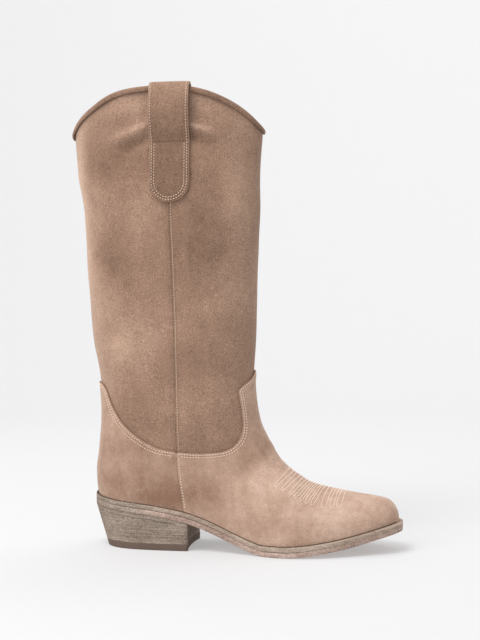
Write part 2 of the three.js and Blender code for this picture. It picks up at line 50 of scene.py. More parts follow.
form = {
    # the form that the leather lies on, from the mouth of the leg to the tip of the toe:
    # front x, z, back x, z, outer and inner half width, widest place, front and back fullness, centre y
    "sections": np.array([
        [22.4, 430, -147.0, 430, 34.0, 34.0, 0.5, 2.4, 2.5, 0],
        [21.4, 370, -145.5, 370, 34.5, 34.5, 0.5, 2.4, 2.5, 0],
        [19.0, 337, -143.2, 337, 35.5, 35.5, 0.5, 2.4, 2.5, 0],
        [19.2, 300, -137.3, 300, 36.5, 36.5, 0.5, 2.4, 2.5, 0],
        [17.0, 242, -133.8, 242, 36.5, 36.5, 0.5, 2.4, 2.6, 0],
        [16.0, 190, -129.4, 190, 35.0, 35.0, 0.5, 2.4, 2.8, 0],
        [13.6, 152, -121.8, 152, 33.5, 33.5, 0.5, 2.3, 3.2, 0],
        [15.2, 128, -119.2, 118, 32.5, 32.5, 0.49, 2.2, 3.6, 0],
        [19.0, 110, -121.4, 88, 30.8, 30.8, 0.48, 2.1, 4.0, 0],
        [24.6, 98, -124.8, 66, 29.5, 29.5, 0.48, 2.1, 4.4, 0],
        [31.4, 85, -121.4, 40, 28.6, 28.4, 0.5, 2.1, 4.5, 0],
        [36.6, 77, -108.0, 18, 28.2, 27.8, 0.55, 2.0, 3.2, 0],
        [42.0, 71.6, -75.0, 5, 28.6, 27.4, 0.62, 2.0, 2.1, 0],
        [48.0, 66.4, -35.0, -2, 31.0, 28.8, 0.6, 2.0, 1.9, 0.2],
        [55.6, 61.0, 5.0, -9, 36.0, 34.5, 0.54, 1.9, 2.0, 0.8],
        [66.0, 54.6, 42.0, -12, 40.3, 39.5, 0.42, 1.8, 2.2, 2.0],
        [82.0, 50.1, 75.0, -8, 37.2, 36.6, 0.4, 1.8, 2.3, 3.6],
        [103.0, 46.2, 102.0, -1, 28.6, 28.0, 0.42, 1.8, 2.4, 5.4],
        [119.0, 44.0, 119.0, 7, 21.6, 21.2, 0.44, 1.9, 2.4, 6.4],
        [129.0, 42.3, 129.0, 12, 16.2, 15.8, 0.46, 2.0, 2.3, 6.9],
        [134.6, 40.4, 134.6, 15, 12.2, 12.0, 0.48, 2.0, 2.2, 7.2],
        [138.4, 36.4, 138.4, 19, 8.2, 8.0, 0.5, 2.0, 2.0, 7.4],
        [140.6, 31.0, 140.6, 23.4, 4.0, 3.9, 0.5, 2.0, 2.0, 7.5],
        [141.2, 25.2, 141.2, 25.2, 0, 0, 0.5, 2.0, 2.0, 7.5],
    ]),
    "seamX": -52.5, "legTop": 406.5, "tread": 9.1,
    "lining": (0.0, 0.9), "panel": (1.2, 2.6), "cover": (2.9, 4.3),  # inner and outer face off the form
}
lastSection = len(form["sections"]) - 1
strapLow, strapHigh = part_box("pull_strap_lateral"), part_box("pull_strap_medial")
origin = np.array([  # where the drawing's origin lies in the frame
    (strapLow[0].x + strapLow[1].x) / 2 - form["seamX"] * mm,
    (strapLow[0].y + strapHigh[1].y) / 2,
    0.0,
])


def smoothStep(value, low, high):
    share = np.clip((np.asarray(value, float) - low) / (high - low), 0, 1)
    return share * share * (3 - 2 * share)


def sectionAt(v):  # the rows of the table, smoothly in between
    v = np.clip(np.asarray(v, float), 0, lastSection)
    i = np.clip(np.floor(v).astype(int), 0, lastSection - 1)
    f = (v - i)[..., None]
    a, b, c, d = (form["sections"][np.clip(i + k, 0, lastSection)] for k in (-1, 0, 1, 2))
    return b + 0.5 * f * (c - a + f * (2 * a - 5 * b + 4 * c - d + f * (3 * (b - c) + d - a)))


def fullness(s, u):
    power = np.where(u > 0, s[..., 7], s[..., 8])
    return np.sqrt(np.clip(1 - np.abs(u) ** power, 0, None))


def formPoint(v, turn):
    s = sectionAt(v)
    u = np.cos(turn)
    side = np.where(np.sin(turn) >= 0, -1.0, 1.0)
    t = s[..., 6] + np.where(u > 0, 1 - s[..., 6], s[..., 6]) * u
    half = np.clip(np.where(side < 0, s[..., 4], s[..., 5]), 0, None)
    x = s[..., 2] + (s[..., 0] - s[..., 2]) * t
    z = s[..., 3] + (s[..., 1] - s[..., 3]) * t
    return np.stack([x, s[..., 9] + side * half * fullness(s, u), z], -1)


def unit(vectors):
    return vectors / (np.linalg.norm(vectors, axis=-1, keepdims=True) + 1e-12)


def formNormal(v, turn, step=0.02):
    v = np.clip(v, 0, lastSection - 0.04)
    along = formPoint(np.minimum(v + step, lastSection), turn) - formPoint(np.maximum(v - step, 0), turn)
    across = formPoint(v, turn + step) - formPoint(v, turn - step)
    return unit(np.cross(across, along))


def locate(x, z, side):  # the place on the form of a point of the side view; side -1 is the outer side
    x, z = np.broadcast_arrays(np.asarray(x, float), np.asarray(z, float))
    low, high = np.zeros(x.shape), np.full(x.shape, lastSection - 0.001)
    for _ in range(34):
        v = (low + high) / 2
        s = sectionAt(v)
        above = (s[..., 0] - s[..., 2]) * (z - s[..., 3]) - (s[..., 1] - s[..., 3]) * (x - s[..., 2]) < 0
        low, high = np.where(above, v, low), np.where(above, high, v)
    s = sectionAt(low)
    chord = s[..., [0, 1]] - s[..., [2, 3]]
    t = ((x - s[..., 2]) * chord[..., 0] + (z - s[..., 3]) * chord[..., 1]) / ((chord ** 2).sum(-1) + 1e-9)
    u = np.where(t > s[..., 6], (t - s[..., 6]) / (1 - s[..., 6]), (t - s[..., 6]) / s[..., 6])
    return np.stack([low, -side * np.arccos(np.clip(u, -1, 1))], -1)


def halfWidthAt(x, z, side):  # -1 outside the form
    place = locate(x, z, side)
    point = formPoint(place[..., 0], place[..., 1])
    return np.where(np.hypot(point[..., 0] - x, point[..., 2] - z) < 0.02, side * point[..., 1], -1)


def spline(points, count):  # a smooth curve through the points that does not overshoot
    p = np.array(points, float)
    p = np.vstack([2 * p[0] - p[1], p, 2 * p[-1] - p[-2]])
    knot = np.concatenate([[0], np.cumsum(np.linalg.norm(np.diff(p, axis=0), axis=1) ** 0.5)])
    out = []
    for i in range(1, len(p) - 2):
        t = np.linspace(knot[i], knot[i + 1], 24)[:, None]

        def blend(first, second, k, m):
            share = (t - knot[k]) / (knot[m] - knot[k])
            return first + (second - first) * share

        a, b, c = (blend(p[k], p[k + 1], k, k + 1) for k in (i - 1, i, i + 1))
        out.append(blend(blend(a, b, i - 1, i + 1), blend(b, c, i, i + 2), i, i + 1))
    return evenly(np.vstack(out), count=count)


def evenly(line, step=None, count=None, closed=False):
    line = np.asarray(line, float)
    if closed:
        line = np.vstack([line, line[:1]])
    run = np.concatenate([[0], np.cumsum(np.linalg.norm(np.diff(line, axis=0), axis=1))])
    count = count or max(2, int(round(run[-1] / step)) + 1)
    at = np.linspace(0, run[-1], count)
    out = np.stack([np.interp(at, run, line[:, k]) for k in range(line.shape[1])], -1)
    return out[:-1] if closed else out


def sideways(line, distance, closed=False):  # to the right of the line's run
    before = np.roll(line, 1, 0) if closed else np.vstack([line[:1], line[:-1]])
    after = np.roll(line, -1, 0) if closed else np.vstack([line[1:], line[-1:]])
    run = unit(after - before)
    return line + distance * np.stack([run[:, 1], -run[:, 0]], -1)


lines = {  # side-view lines of the pattern pieces, from back to front or from the top down
    "top": spline([(-162, 345), (-149, 366), (-139, 381.5), (-122, 393.2), (-101, 403), (-76, 406.4),
                   (-53, 406.5), (-31, 404.4), (-9, 397.2), (11, 385), (24, 370), (38, 350)], 160),
    "seam": spline([(-54, 440), (-53, 304), (-51, 250), (-49.2, 190), (-48.2, 130), (-47.5, 90),
                    (-45.6, 64), (-40.6, 32), (-34, 0), (-28, -25)], 200),
    "counter": spline([(-170, 148), (-126, 148), (-116.5, 147), (-111, 141.5), (-105, 128), (-95, 112.2),
                       (-82, 100.8), (-64, 91.2), (-47.6, 88)], 120),
    "vampSide": spline([(-47.6, 88), (-30, 86.6), (-14, 87), (-4.5, 88.8), (1.8, 93.2), (5.8, 99.5),
                        (7.2, 107), (6.7, 117), (4.9, 130), (3, 141)], 110),
    "tongue": spline([(3, 141), (6.8, 145.6), (9.7, 148.5), (11.9, 151.4), (13.2, 155), (14.2, 160),
                      (18, 172)], 50),
    "panelEnd": spline([(-170, 130), (-126, 129), (-112, 118), (-98, 103), (-80, 90.5), (-62, 81),
                        (-47, 76), (-28, 74.5), (-10, 76), (8, 86), (20, 99), (60, 112)], 120),
    "feather": np.vstack([  # where the upper meets the welt; it lies flat at the tread
        spline([(-170, 62), (-127, 48), (-118, 45.6), (-106, 43.8), (-92, 42.2), (-78, 40.8), (-60, 38.4),
                (-38, 33.9), (-18, 27), (2, 18.6), (16, 13), (25, 10), (30, form["tread"])], 120),
        [(35, form["tread"]), (42, form["tread"])],
        spline([(48, form["tread"]), (56, 9.7), (72, 11.6), (98, 15.9), (118, 20.6), (137, 25.4),
                (150, 28.8), (190, 41)], 90),
    ]),
}


def heightOf(name, drop=0.0):
    line = sideways(lines[name], drop) if drop else lines[name]
    return lambda x: np.interp(x, line[:, 0], line[:, 1])


def crossing(turns, height, low, high):  # for each turn, where the form passes through a side-view line
    turns = np.asarray(turns, float)
    low, high = np.full(turns.shape, float(low)), np.full(turns.shape, float(high))
    for _ in range(34):
        v = (low + high) / 2
        p = formPoint(v, turns)
        above = p[..., 2] > height(p[..., 0])
        low, high = np.where(above, v, low), np.where(above, high, v)
    return np.stack([low, turns], -1)


class FlatForm:  # a flat drawing of the form, so that pieces can be cut out of it
    def __init__(self, spine, centre):
        steps = np.linspace(0, lastSection, 700)
        s = sectionAt(steps)
        mid = s[:, [2, 3]] + spine * (s[:, [0, 1]] - s[:, [2, 3]])
        self.steps, self.centre = steps, centre
        self.run = np.concatenate([[0], np.cumsum(np.linalg.norm(np.diff(mid, axis=0), axis=1) + 1e-4)])
        ring = formPoint(steps[:, None], np.linspace(0, 2 * pi, 60)[None])
        self.radius = np.maximum(np.linalg.norm(np.diff(ring, axis=1), axis=2).sum(1) / (2 * pi), 0.02)

    def flatten(self, place):
        v, turn = place[..., 0], place[..., 1]
        turn = (turn - self.centre + pi) % (2 * pi) - pi
        return np.stack([turn * np.interp(v, self.steps, self.radius), np.interp(v, self.steps, self.run)], -1)

    def unflatten(self, flat):
        v = np.interp(flat[..., 1], self.run, self.steps)
        turn = flat[..., 0] / np.interp(v, self.steps, self.radius)
        return np.stack([v, turn + self.centre], -1)

    def place(self, flat, out):
        at = self.unflatten(flat)
        base = formPoint(at[..., 0], at[..., 1])
        normal = formNormal(at[..., 0], at[..., 1])
        return base + normal * (np.asarray(out) + softness(base))[..., None]


def waves(seed, count, size):  # a smooth, seeded field of soft waves
    rng = np.random.RandomState(seed)
    direction = unit(rng.normal(size=(count, 3)))
    speed = direction * (2 * pi / size) * rng.uniform(0.6, 1.6, (count, 1))
    phase = rng.uniform(0, 2 * pi, count)
    return lambda p: np.sin(p @ speed.T + phase).sum(-1) / math.sqrt(count)


creases = {
    "folds": [  # from x, z to x, z, how high, how wide; the same on both faces of the boot
        (-72, 374, -112, 358, 2.6, 4.4), (-70, 363, -104, 350, -2.4, 5.2), (-38, 374, -8, 364, 2.8, 3.2),
        (-38, 364, -10, 354, -2.2, 4.5), (-30, 389, 2, 379, 0.9, 6), (-74, 391, -112, 384, 0.8, 6),
        (-122, 262, -88, 240, -1.6, 12), (-20, 252, 12, 270, -1.2, 11), (-112, 176, -80, 190, 1.1, 10),
        (-40, 330, -4, 318, -0.9, 11), (-126, 322, -96, 306, 1.2, 10), (24, 90, 36, 73, -1.1, 2.6),
        (28, 92, 42, 73, 0.8, 3), (34, 80, 20, 68, 0.8, 4), (104, 36, 122, 40, -0.9, 5),
    ],
    "broad": waves(3, 9, 150), "small": waves(8, 10, 46), "broadHeight": 0.75, "smallHeight": 0.22,
    "heelHollow": 1.3,  # how far the counter draws in above the heel seat
}


def foldsAt(p):
    x, z = p[..., 0], p[..., 2]
    out = 0
    for x0, z0, x1, z1, height, width in creases["folds"]:
        length = math.hypot(x1 - x0, z1 - z0)
        ax, az = (x1 - x0) / length, (z1 - z0) / length
        along = ((x - x0) * ax + (z - z0) * az) / length
        off = ((z - z0) * ax - (x - x0) * az) / (width * (0.7 + 0.6 * np.clip(along, 0, 1)))
        fade = smoothStep(along, -0.15, 0.15) * (1 - smoothStep(along, 0.45, 1.15))
        out = out + height * np.exp(-off ** 2) * fade
    return out


def softness(p):  # how far the leather stands off its smooth form
    x, z = p[..., 0], p[..., 2]
    shaft = smoothStep(z, 105, 190) * (1 - 0.75 * smoothStep(z, 375, 404))
    out = creases["broad"](p) * creases["broadHeight"] * shaft + foldsAt(p)
    out = out + creases["small"](p) * creases["smallHeight"] * (0.25 + 0.75 * shaft)
    hollow = creases["heelHollow"] * smoothStep(-x, 98, 124) * (1 - smoothStep(z, 60, 95))
    return out * smoothStep(z, 30, 70) - hollow


def newPiece(name, points, faces, material, nodes=(), values=None):
    mesh = bpy.data.meshes.new(name)
    points = np.asarray(points, float) * mm + origin
    mesh.from_pydata(points.tolist(), [], [list(map(int, f)) for f in faces])
    for key, value in (values or {}).items():
        mesh.attributes.new(key, "FLOAT", "POINT").data.foreach_set("value", np.asarray(value, np.float32))
    mesh.validate()
    shape = bmesh.new()
    shape.from_mesh(mesh)
    bmesh.ops.recalc_face_normals(shape, faces=shape.faces)
    shape.to_mesh(mesh)
    shape.free()
    mesh.materials.append(material)
    mesh.polygons.foreach_set("use_smooth", [True] * len(mesh.polygons))
    piece = bpy.data.objects.new(name, mesh)
    bpy.context.scene.collection.objects.link(piece)
    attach(piece, "root")
    if nodes:
        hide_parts(*nodes)
    return piece


def insideOf(points, loop):
    x, y = points[:, 0, None], points[:, 1, None]
    ax, ay = loop[:, 0][None], loop[:, 1][None]
    bx, by = np.roll(loop[:, 0], -1)[None], np.roll(loop[:, 1], -1)[None]
    hit = ((ay > y) != (by > y)) & (x < (bx - ax) * (y - ay) / (by - ay + 1e-12) + ax)
    return hit.sum(1) % 2 == 1


def distanceTo(points, loop):
    out = np.full(len(points), 1e9)
    for i in range(0, len(loop), 64):
        out = np.minimum(out, np.linalg.norm(points[:, None] - loop[None, i:i + 64], axis=2).min(1))
    return out


def area(loop):
    x, y = loop[:, 0], loop[:, 1]
    return 0.5 * (x * np.roll(y, -1) - y * np.roll(x, -1)).sum()


def cutPatch(loop, spacing, marks=(), holes=()):  # fills an outline with even triangles, and follows the marks
    loop = evenly(loop, spacing, closed=True)
    if area(loop) < 0:
        loop = loop[::-1]
    low, high = loop.min(0), loop.max(0)
    xs, ys = np.meshgrid(np.arange(low[0], high[0], spacing), np.arange(low[1], high[1], spacing * 0.866))
    xs[1::2] += spacing / 2
    grid = np.stack([xs.ravel(), ys.ravel()], -1)
    grid = grid[insideOf(grid, loop)]
    marks = [m for m in marks if len(m)]
    rims = [loop, *holes]
    for keepOff, share in [(r, 0.62) for r in rims] + [(m, 0.55) for m in marks]:
        grid = grid[distanceTo(grid, keepOff) > spacing * share]
    for hole in holes:
        grid = grid[~insideOf(grid, hole)]
    extra = [m[insideOf(m, loop) & (distanceTo(m, loop) > spacing * 0.3)] for m in marks]
    points = np.vstack([*rims, *extra, grid])
    edges, start = [], 0
    for rim in rims:
        count = len(rim)
        edges += [(start + i, start + (i + 1) % count) for i in range(count)]
        start += count
    verts, _, faces, origins, _, _ = delaunay_2d_cdt([tuple(p) for p in points], edges, [], 1, 1e-5)
    at = {old: new for new, olds in enumerate(origins) for old in olds}
    flat = np.array([tuple(p) for p in verts])
    faces = [f for f in faces if len(set(f)) == 3]
    if holes:
        middles = np.array([flat[list(f)].mean(0) for f in faces])
        kept = ~np.any([insideOf(middles, h) for h in holes], axis=0)
        faces = [f for f, k in zip(faces, kept) if k]
    rings, start = [], 0
    for rim in rims:
        rings.append([at[start + i] for i in range(len(rim))])
        start += len(rim)
    return flat, faces, rings


leatherEdge = [(0.72, 0.07), (1.0, 0.28), (1.0, 0.78), (0.75, 1.0)]  # how far out, how far through
holeEdge = [(0.0, 0.3), (0.0, 0.7)]


def sheetSolid(loop, place, inner, outer, spacing=2.4, rounding=0.5, marks=(), sink=0.0, holes=(),
               profile=leatherEdge):
    # a sheet of the outline's shape, with rounded cut edges and a groove under each row of stitches
    loop = evenly(loop, spacing, closed=True)
    loop = loop[::-1] if area(loop) < 0 else loop
    flat, faces, rings = cutPatch(sideways(loop, -rounding, closed=True), spacing, marks, holes)
    edge = distanceTo(flat, loop)
    low = np.zeros(len(flat))
    for mark in marks:
        if len(mark):
            low = np.maximum(low, np.exp(-(distanceTo(flat, mark) / 0.8) ** 2))
    count = len(flat)
    points = [place(flat, outer - low * sink), place(flat, np.full(count, inner))]
    values = [edge, edge]
    built = [tuple(f) for f in faces] + [tuple(count + i for i in reversed(f)) for f in faces]
    start = 2 * count

    def wall(first, second):
        for i in range(len(first)):
            j = (i + 1) % len(first)
            built.append((first[i], second[i], second[j], first[j]))

    for k, ring in enumerate(rings):
        rim, previous = flat[ring], list(ring)
        for share, depth in holeEdge if k else profile:
            height = outer + (inner - outer) * depth
            points.append(place(sideways(rim, rounding * share, closed=True), np.full(len(rim), height)))
            values.append(np.zeros(len(rim)))
            current = list(range(start, start + len(rim)))
            start += len(rim)
            wall(previous, current)
            previous = current
        wall(previous, [count + i for i in ring])
    return np.vstack(points), built, np.concatenate(values)


def sweepLoop(sections):  # sections is stations x points x 3, closed both ways
    n, m = sections.shape[:2]
    faces = [(i * m + k, i * m + (k + 1) % m, ((i + 1) % n) * m + (k + 1) % m, ((i + 1) % n) * m + k)
             for i in range(n) for k in range(m)]
    return sections.reshape(-1, 3), faces


thread = {"pitch": 2.45, "length": 1.5, "radius": 0.46, "around": 6,
          "stations": (-1, -0.86, -0.5, 0, 0.5, 0.86, 1)}


def stitches(points, normals, seed=0, pitch=thread["pitch"], length=thread["length"],
             radius=thread["radius"]):  # one small capsule for each stitch
    rng = np.random.RandomState(seed)
    both = evenly(np.hstack([points, normals]), pitch)
    middle, normal = both[:, :3], unit(both[:, 3:])
    tangent = unit(np.gradient(middle, axis=0))
    across = unit(np.cross(normal, tangent))
    count, around = len(thread["stations"]), thread["around"]
    verts, faces = [], []
    for p, n, t, a in zip(middle, normal, tangent, across):
        size = 1 + rng.uniform(-0.08, 0.08)
        lean = rng.uniform(-0.07, 0.07)
        start = len(verts)
        for s in thread["stations"]:
            fat = radius * math.sqrt(max(0.02, 1 - abs(s) ** 3.2))
            sunk = -0.42 * abs(s) ** 3 * radius * 2
            centre = p + t * (s * length / 2 * size) + a * (lean * s) + n * (radius * 0.25 + sunk)
            for k in range(around):
                angle = 2 * pi * k / around
                verts.append(centre + fat * (math.cos(angle) * a + math.sin(angle) * n))
        for i in range(count - 1):
            for k in range(around):
                q, r = start + i * around, start + (i + 1) * around
                faces.append((q + k, q + (k + 1) % around, r + (k + 1) % around, r + k))
        faces.append(tuple(start + k for k in reversed(range(around))))
        faces.append(tuple(start + (count - 1) * around + k for k in range(around)))
    return np.array(verts), faces


def joinMeshes(parts):
    verts, faces, start = [], [], 0
    for v, f in parts:
        verts.append(v)
        faces += [tuple(start + i for i in face) for face in f]
        start += len(v)
    return np.vstack(verts), faces


def colour(red, green, blue):  # from everyday 0-255 values
    parts = [c / 255 for c in (red, green, blue)]
    return (*[c / 12.92 if c <= 0.04045 else ((c + 0.055) / 1.055) ** 2.4 for c in parts], 1.0)


class Wire:  # a shader socket that can be used in sums
    def __init__(self, paint, socket):
        self.paint, self.socket = paint, socket

    def sum(self, operation, first, second):
        return self.paint.add("ShaderNodeMath", {"operation": operation}, {0: first, 1: second})

    def __add__(self, other):
        return self.sum("ADD", self, other)

    def __radd__(self, other):
        return self.sum("ADD", other, self)

    def __sub__(self, other):
        return self.sum("SUBTRACT", self, other)

    def __rsub__(self, other):
        return self.sum("SUBTRACT", other, self)

    def __mul__(self, other):
        return self.sum("MULTIPLY", self, other)

    def __rmul__(self, other):
        return self.sum("MULTIPLY", other, self)


class Paint:  # a material, its shader and its nodes
    def __init__(self, name, **fixed):
        self.material = bpy.data.materials.new(name)
        self.material.use_nodes = True
        self.tree = self.material.node_tree
        self.shader = self.tree.nodes["Principled BSDF"]
        for key, value in fixed.items():
            self.shader.inputs[key.replace("_", " ")].default_value = value

    def feed(self, socket, value):
        if isinstance(value, Wire):
            self.tree.links.new(value.socket, socket)
        else:
            socket.default_value = value

    def add(self, kind, settings=None, values=None, out=0):
        node = self.tree.nodes.new(kind)
        for key, value in (settings or {}).items():
            if key == "stops":
                ramp = node.color_ramp
                while len(ramp.elements) < len(value):
                    ramp.elements.new(0.5)
                for element, (place, tint) in zip(ramp.elements, value):
                    element.position, element.color = place, tint
            else:
                setattr(node, key, value)
        for key, value in (values or {}).items():
            self.feed(node.inputs[key], value)
        return Wire(self, node.outputs[out])

    def noise(self, scale, detail=2.0, rough=0.5, stretch=None, distortion=0.0):
        place = self.add("ShaderNodeTexCoord", out="Object")
        if stretch:
            place = self.add("ShaderNodeMapping", values={"Vector": place, "Scale": stretch})
        return self.add("ShaderNodeTexNoise", values={"Vector": place, "Scale": scale, "Detail": detail,
                                                      "Roughness": rough, "Distortion": distortion})

    def value(self, name):
        return self.add("ShaderNodeAttribute", {"attribute_name": name}, out="Fac")

    def ramp(self, factor, stops):
        return self.add("ShaderNodeValToRGB", {"stops": stops}, {"Fac": factor})

    def mix(self, factor, first, second):
        return self.add("ShaderNodeMix", {"data_type": "RGBA"}, {0: factor, 6: first, 7: second}, out=2)

    def finish(self, tint, roughness=None, height=None, strength=0.4, depth=0.0005):
        self.feed(self.shader.inputs["Base Color"], tint)
        if roughness is not None:
            self.feed(self.shader.inputs["Roughness"], roughness)
        if height is not None:
            bump = self.add("ShaderNodeBump", {}, {"Strength": strength, "Distance": depth, "Height": height})
            self.feed(self.shader.inputs["Normal"], bump)
        return self.material


def suede(name, look):
    paint = Paint(name, Sheen_Weight=look["sheen"], Sheen_Roughness=0.4, Sheen_Tint=colour(255, 236, 220),
                  Specular_IOR_Level=0.12)
    patches = paint.noise(look["patch"], 3.0, 0.55, distortion=0.6)
    strokes = paint.noise(70, 3.0, 0.6, stretch=(1.0, 1.0, 0.35))
    mottle = paint.noise(190, 3.0, 0.6)
    grain = paint.noise(1050, 2.0, 0.8)
    nap = paint.noise(2600, 2.0, 0.6, stretch=(1.0, 1.0, 0.5))
    tone = ((patches - 0.5) * look["patchDepth"] + (strokes - 0.5) * look["strokeDepth"]
            + (mottle - 0.5) * look["mottleDepth"] + (grain - 0.5) * look["grainDepth"] + paint.value("tone"))
    # tone within edgeWidth of a cut edge: darker along the shaft panels' edges, paler along the vamp and counter
    # rims
    edgeBand = paint.add("ShaderNodeMapRange", {"interpolation_type": "SMOOTHSTEP"},
                       {"Value": paint.value("edge"), "From Min": 0.2, "From Max": look["edgeWidth"],
                        "To Min": look["edgeTone"], "To Max": 0.0})
    # cut edge walls darker: partly the cut edge's own dark colour, partly painted shade beside the overlays'
    # edges
    cut = paint.add("ShaderNodeMapRange", {},
                    {"Value": paint.value("edge"), "From Min": 0.0, "From Max": 0.45,
                     "To Min": look["cutEdgeAndShadeTone"], "To Max": 0.0})
    tint = paint.ramp(tone + edgeBand + cut + 0.5,
                      [(0.0, look["dark"]), (0.5, look["base"]), (1.0, look["light"])])
    height = grain * 0.5 + nap * 0.5 + mottle * 0.35
    return paint.finish(tint, 1.0 - mottle * 0.12, height, look["bump"], 0.0007)


def smoothLeather(name, base, dark):
    paint = Paint(name, Specular_IOR_Level=0.3)
    pores = paint.add("ShaderNodeTexVoronoi", {"feature": "SMOOTH_F1"},
                      {"Vector": paint.add("ShaderNodeTexCoord", out="Object"), "Scale": 620.0})
    cloud = paint.noise(26, 4.0, 0.6)
    tint = paint.mix((cloud - 0.32) * 1.6, dark, base)
    height = pores * 0.6 + paint.noise(240, 3.0, 0.6) * 0.5
    return paint.finish(tint, 0.72 - cloud * 0.2, height, 0.25, 0.0005)


def stackedLeather(name, look, backLook):  # sanded edge of sole or heel leather, with level streaks
    paint = Paint(name, Specular_IOR_Level=0.16)
    streaks = paint.noise(1.0, 4.0, 0.65, stretch=(26, 26, look["layers"]), distortion=0.25)
    fine = paint.noise(1.0, 3.0, 0.7, stretch=(160, 160, look["layers"] * 3.2))
    cloud = paint.noise(34, 3.0, 0.55)
    speck = paint.noise(900, 2.0, 0.7)
    tone = ((streaks - 0.5) * look["streak"] + (fine - 0.5) * look["fine"] + (cloud - 0.5) * 0.8
            + (speck - 0.5) * look["speck"] + paint.value("tone"))
    front, back = (paint.ramp(tone + 0.5, [(place, leather[shade]) for place, shade in
                                           ((0.0, "dark"), (0.42, "base"), (0.7, "mid"), (1.0, "light"))])
                   for leather in (look, backLook))
    tint = paint.mix(paint.value("greyed"), front, back)
    return paint.finish(tint, 0.78 + fine * 0.2, streaks * 0.5 + fine * 0.6 + speck * 0.4, 0.5, 0.0004)


def grainy(name, base, dark, scale=500.0, rough=0.9, metal=0.0):
    paint = Paint(name, Metallic=metal)
    cloud = paint.noise(scale * 0.08, 3.0, 0.6)
    grain = paint.noise(scale, 3.0, 0.65)
    tint = paint.mix(cloud * 0.5 + grain * 0.6 - 0.1, dark, base)
    return paint.finish(tint, rough - cloud * 0.15, grain, 0.3, 0.0004)


shaftSuede = {
    "base": colour(152, 122, 103), "dark": colour(106, 81, 65), "light": colour(198, 166, 144),
    "patch": 15.0, "patchDepth": 0.6, "strokeDepth": 0.3, "mottleDepth": 0.25, "grainDepth": 1.5,
    "edgeTone": -0.1, "edgeWidth": 5.0, "cutEdgeAndShadeTone": -0.6, "sheen": 0.4, "bump": 0.9,
    "toneAndLightPatches": [  # patches darker (below zero) or lighter: x, z, width, height, how much; partly the nap's own patchy tone, partly painted highlight and painted shade, such as the narrow pale strips along the back and front edges
        (-31, 272, 34, 46, -0.22), (-10, 366, 22, 14, -0.16), (-18, 134, 22, 16, 0.1),
        (-112, 342, 30, 26, -0.2), (-52, 345, 90, 12, -0.12), (-100, 262, 22, 34, -0.22),
        (-118, 388, 30, 10, 0.06), (-60, 316, 14, 60, -0.08), (0, 290, 12, 50, 0.14),
        (-112, 378, 26, 10, -0.1), (-20, 392, 30, 9, -0.02), (14, 330, 10, 60, 0.12),
        (-142, 330, 9, 60, 0.4), (-134, 250, 7, 60, 0.3), (-22, 310, 22, 22, -0.12),
        (-70, 300, 26, 20, 0.1), (2, 222, 16, 30, 0.06), (-90, 170, 26, 22, 0.1),
        (-20, 150, 30, 30, -0.1), (-85, 110, 26, 16, -0.12), (-124, 220, 8, 70, 0.12),
    ],
}
footSuede = {
    "base": colour(181, 151, 132), "dark": colour(138, 107, 88), "light": colour(220, 192, 174),
    "patch": 17.0, "patchDepth": 0.9, "strokeDepth": 0.4, "mottleDepth": 0.4, "grainDepth": 0.85,
    "edgeTone": 0.04, "edgeWidth": 1.4, "cutEdgeAndShadeTone": -1.0, "sheen": 0.4, "bump": 0.7,
    # the nap's own patchy tone, with painted highlight and painted shade, such as the dark spot in the crease at
    # x 24
    "toneAndLightPatches": [
        (-30, 52, 26, 15, -0.3), (104, 40, 30, 14, 0.16), (30, 55, 26, 14, 0.14),
        (-100, 108, 16, 14, 0.12), (-110, 62, 22, 10, -0.16), (10, 120, 10, 40, -0.12),
        (-60, 48, 24, 8, -0.14), (50, 26, 34, 9, -0.14), (120, 26, 24, 6, -0.1), (-80, 76, 24, 10, 0.1),
        (-20, 66, 20, 14, 0.1), (24, 92, 12, 16, -0.18),
    ],
}
heelLeather = {
    "base": colour(145, 130, 117), "dark": colour(100, 87, 75), "mid": colour(168, 153, 140),
    "light": colour(204, 192, 180), "layers": 900.0, "streak": 0.9, "fine": 1.2, "speck": 1.4,
}
weltLeather = {
    "base": colour(162, 143, 128), "dark": colour(116, 98, 84), "mid": colour(180, 162, 147),
    "light": colour(212, 198, 185), "layers": 220.0, "streak": 0.7, "fine": 0.8, "speck": 1.5,
}
soleLeather = {
    "base": colour(166, 141, 128), "dark": colour(116, 96, 84), "mid": colour(186, 164, 152),
    "light": colour(222, 206, 196), "layers": 160.0, "streak": 0.7, "fine": 0.8, "speck": 1.6,
}
paints = {
    "shaft": suede("shaftSuede", shaftSuede),
    "foot": suede("footSuede", footSuede),
    "lining": smoothLeather("liningLeather", colour(196, 170, 142), colour(170, 140, 112)),
    "board": grainy("leatherboard", colour(170, 148, 120), colour(138, 116, 92), 700.0),
    "soleEdge": stackedLeather("soleLeather", soleLeather, heelLeather),
    "weltEdge": stackedLeather("weltLeather", weltLeather, heelLeather),
    "heel": stackedLeather("heelLeather", heelLeather, heelLeather),
    "rubber": grainy("heelRubber", colour(116, 96, 84), colour(84, 68, 58), 900.0, 0.85),
    "cork": grainy("groundCork", colour(176, 132, 88), colour(110, 74, 46), 420.0),
    "steel": grainy("plainSteel", colour(186, 186, 188), colour(140, 140, 144), 1400.0, 0.5, 1.0),
    # dark paint for the strip of painted shade between upper and welt
    "creaseShade": grainy("paintedWeltShade", colour(98, 76, 60), colour(70, 54, 42), 900.0, 0.9),
    "thread": grainy("paleThread", colour(244, 220, 202), colour(214, 188, 168), 2600.0, 0.85),
    "toeThread": grainy("toeThread", colour(250, 232, 218), colour(226, 202, 184), 2600.0, 0.85),
    "darkThread": grainy("darkThread", colour(96, 74, 60), colour(70, 52, 42), 2600.0, 0.85),
}


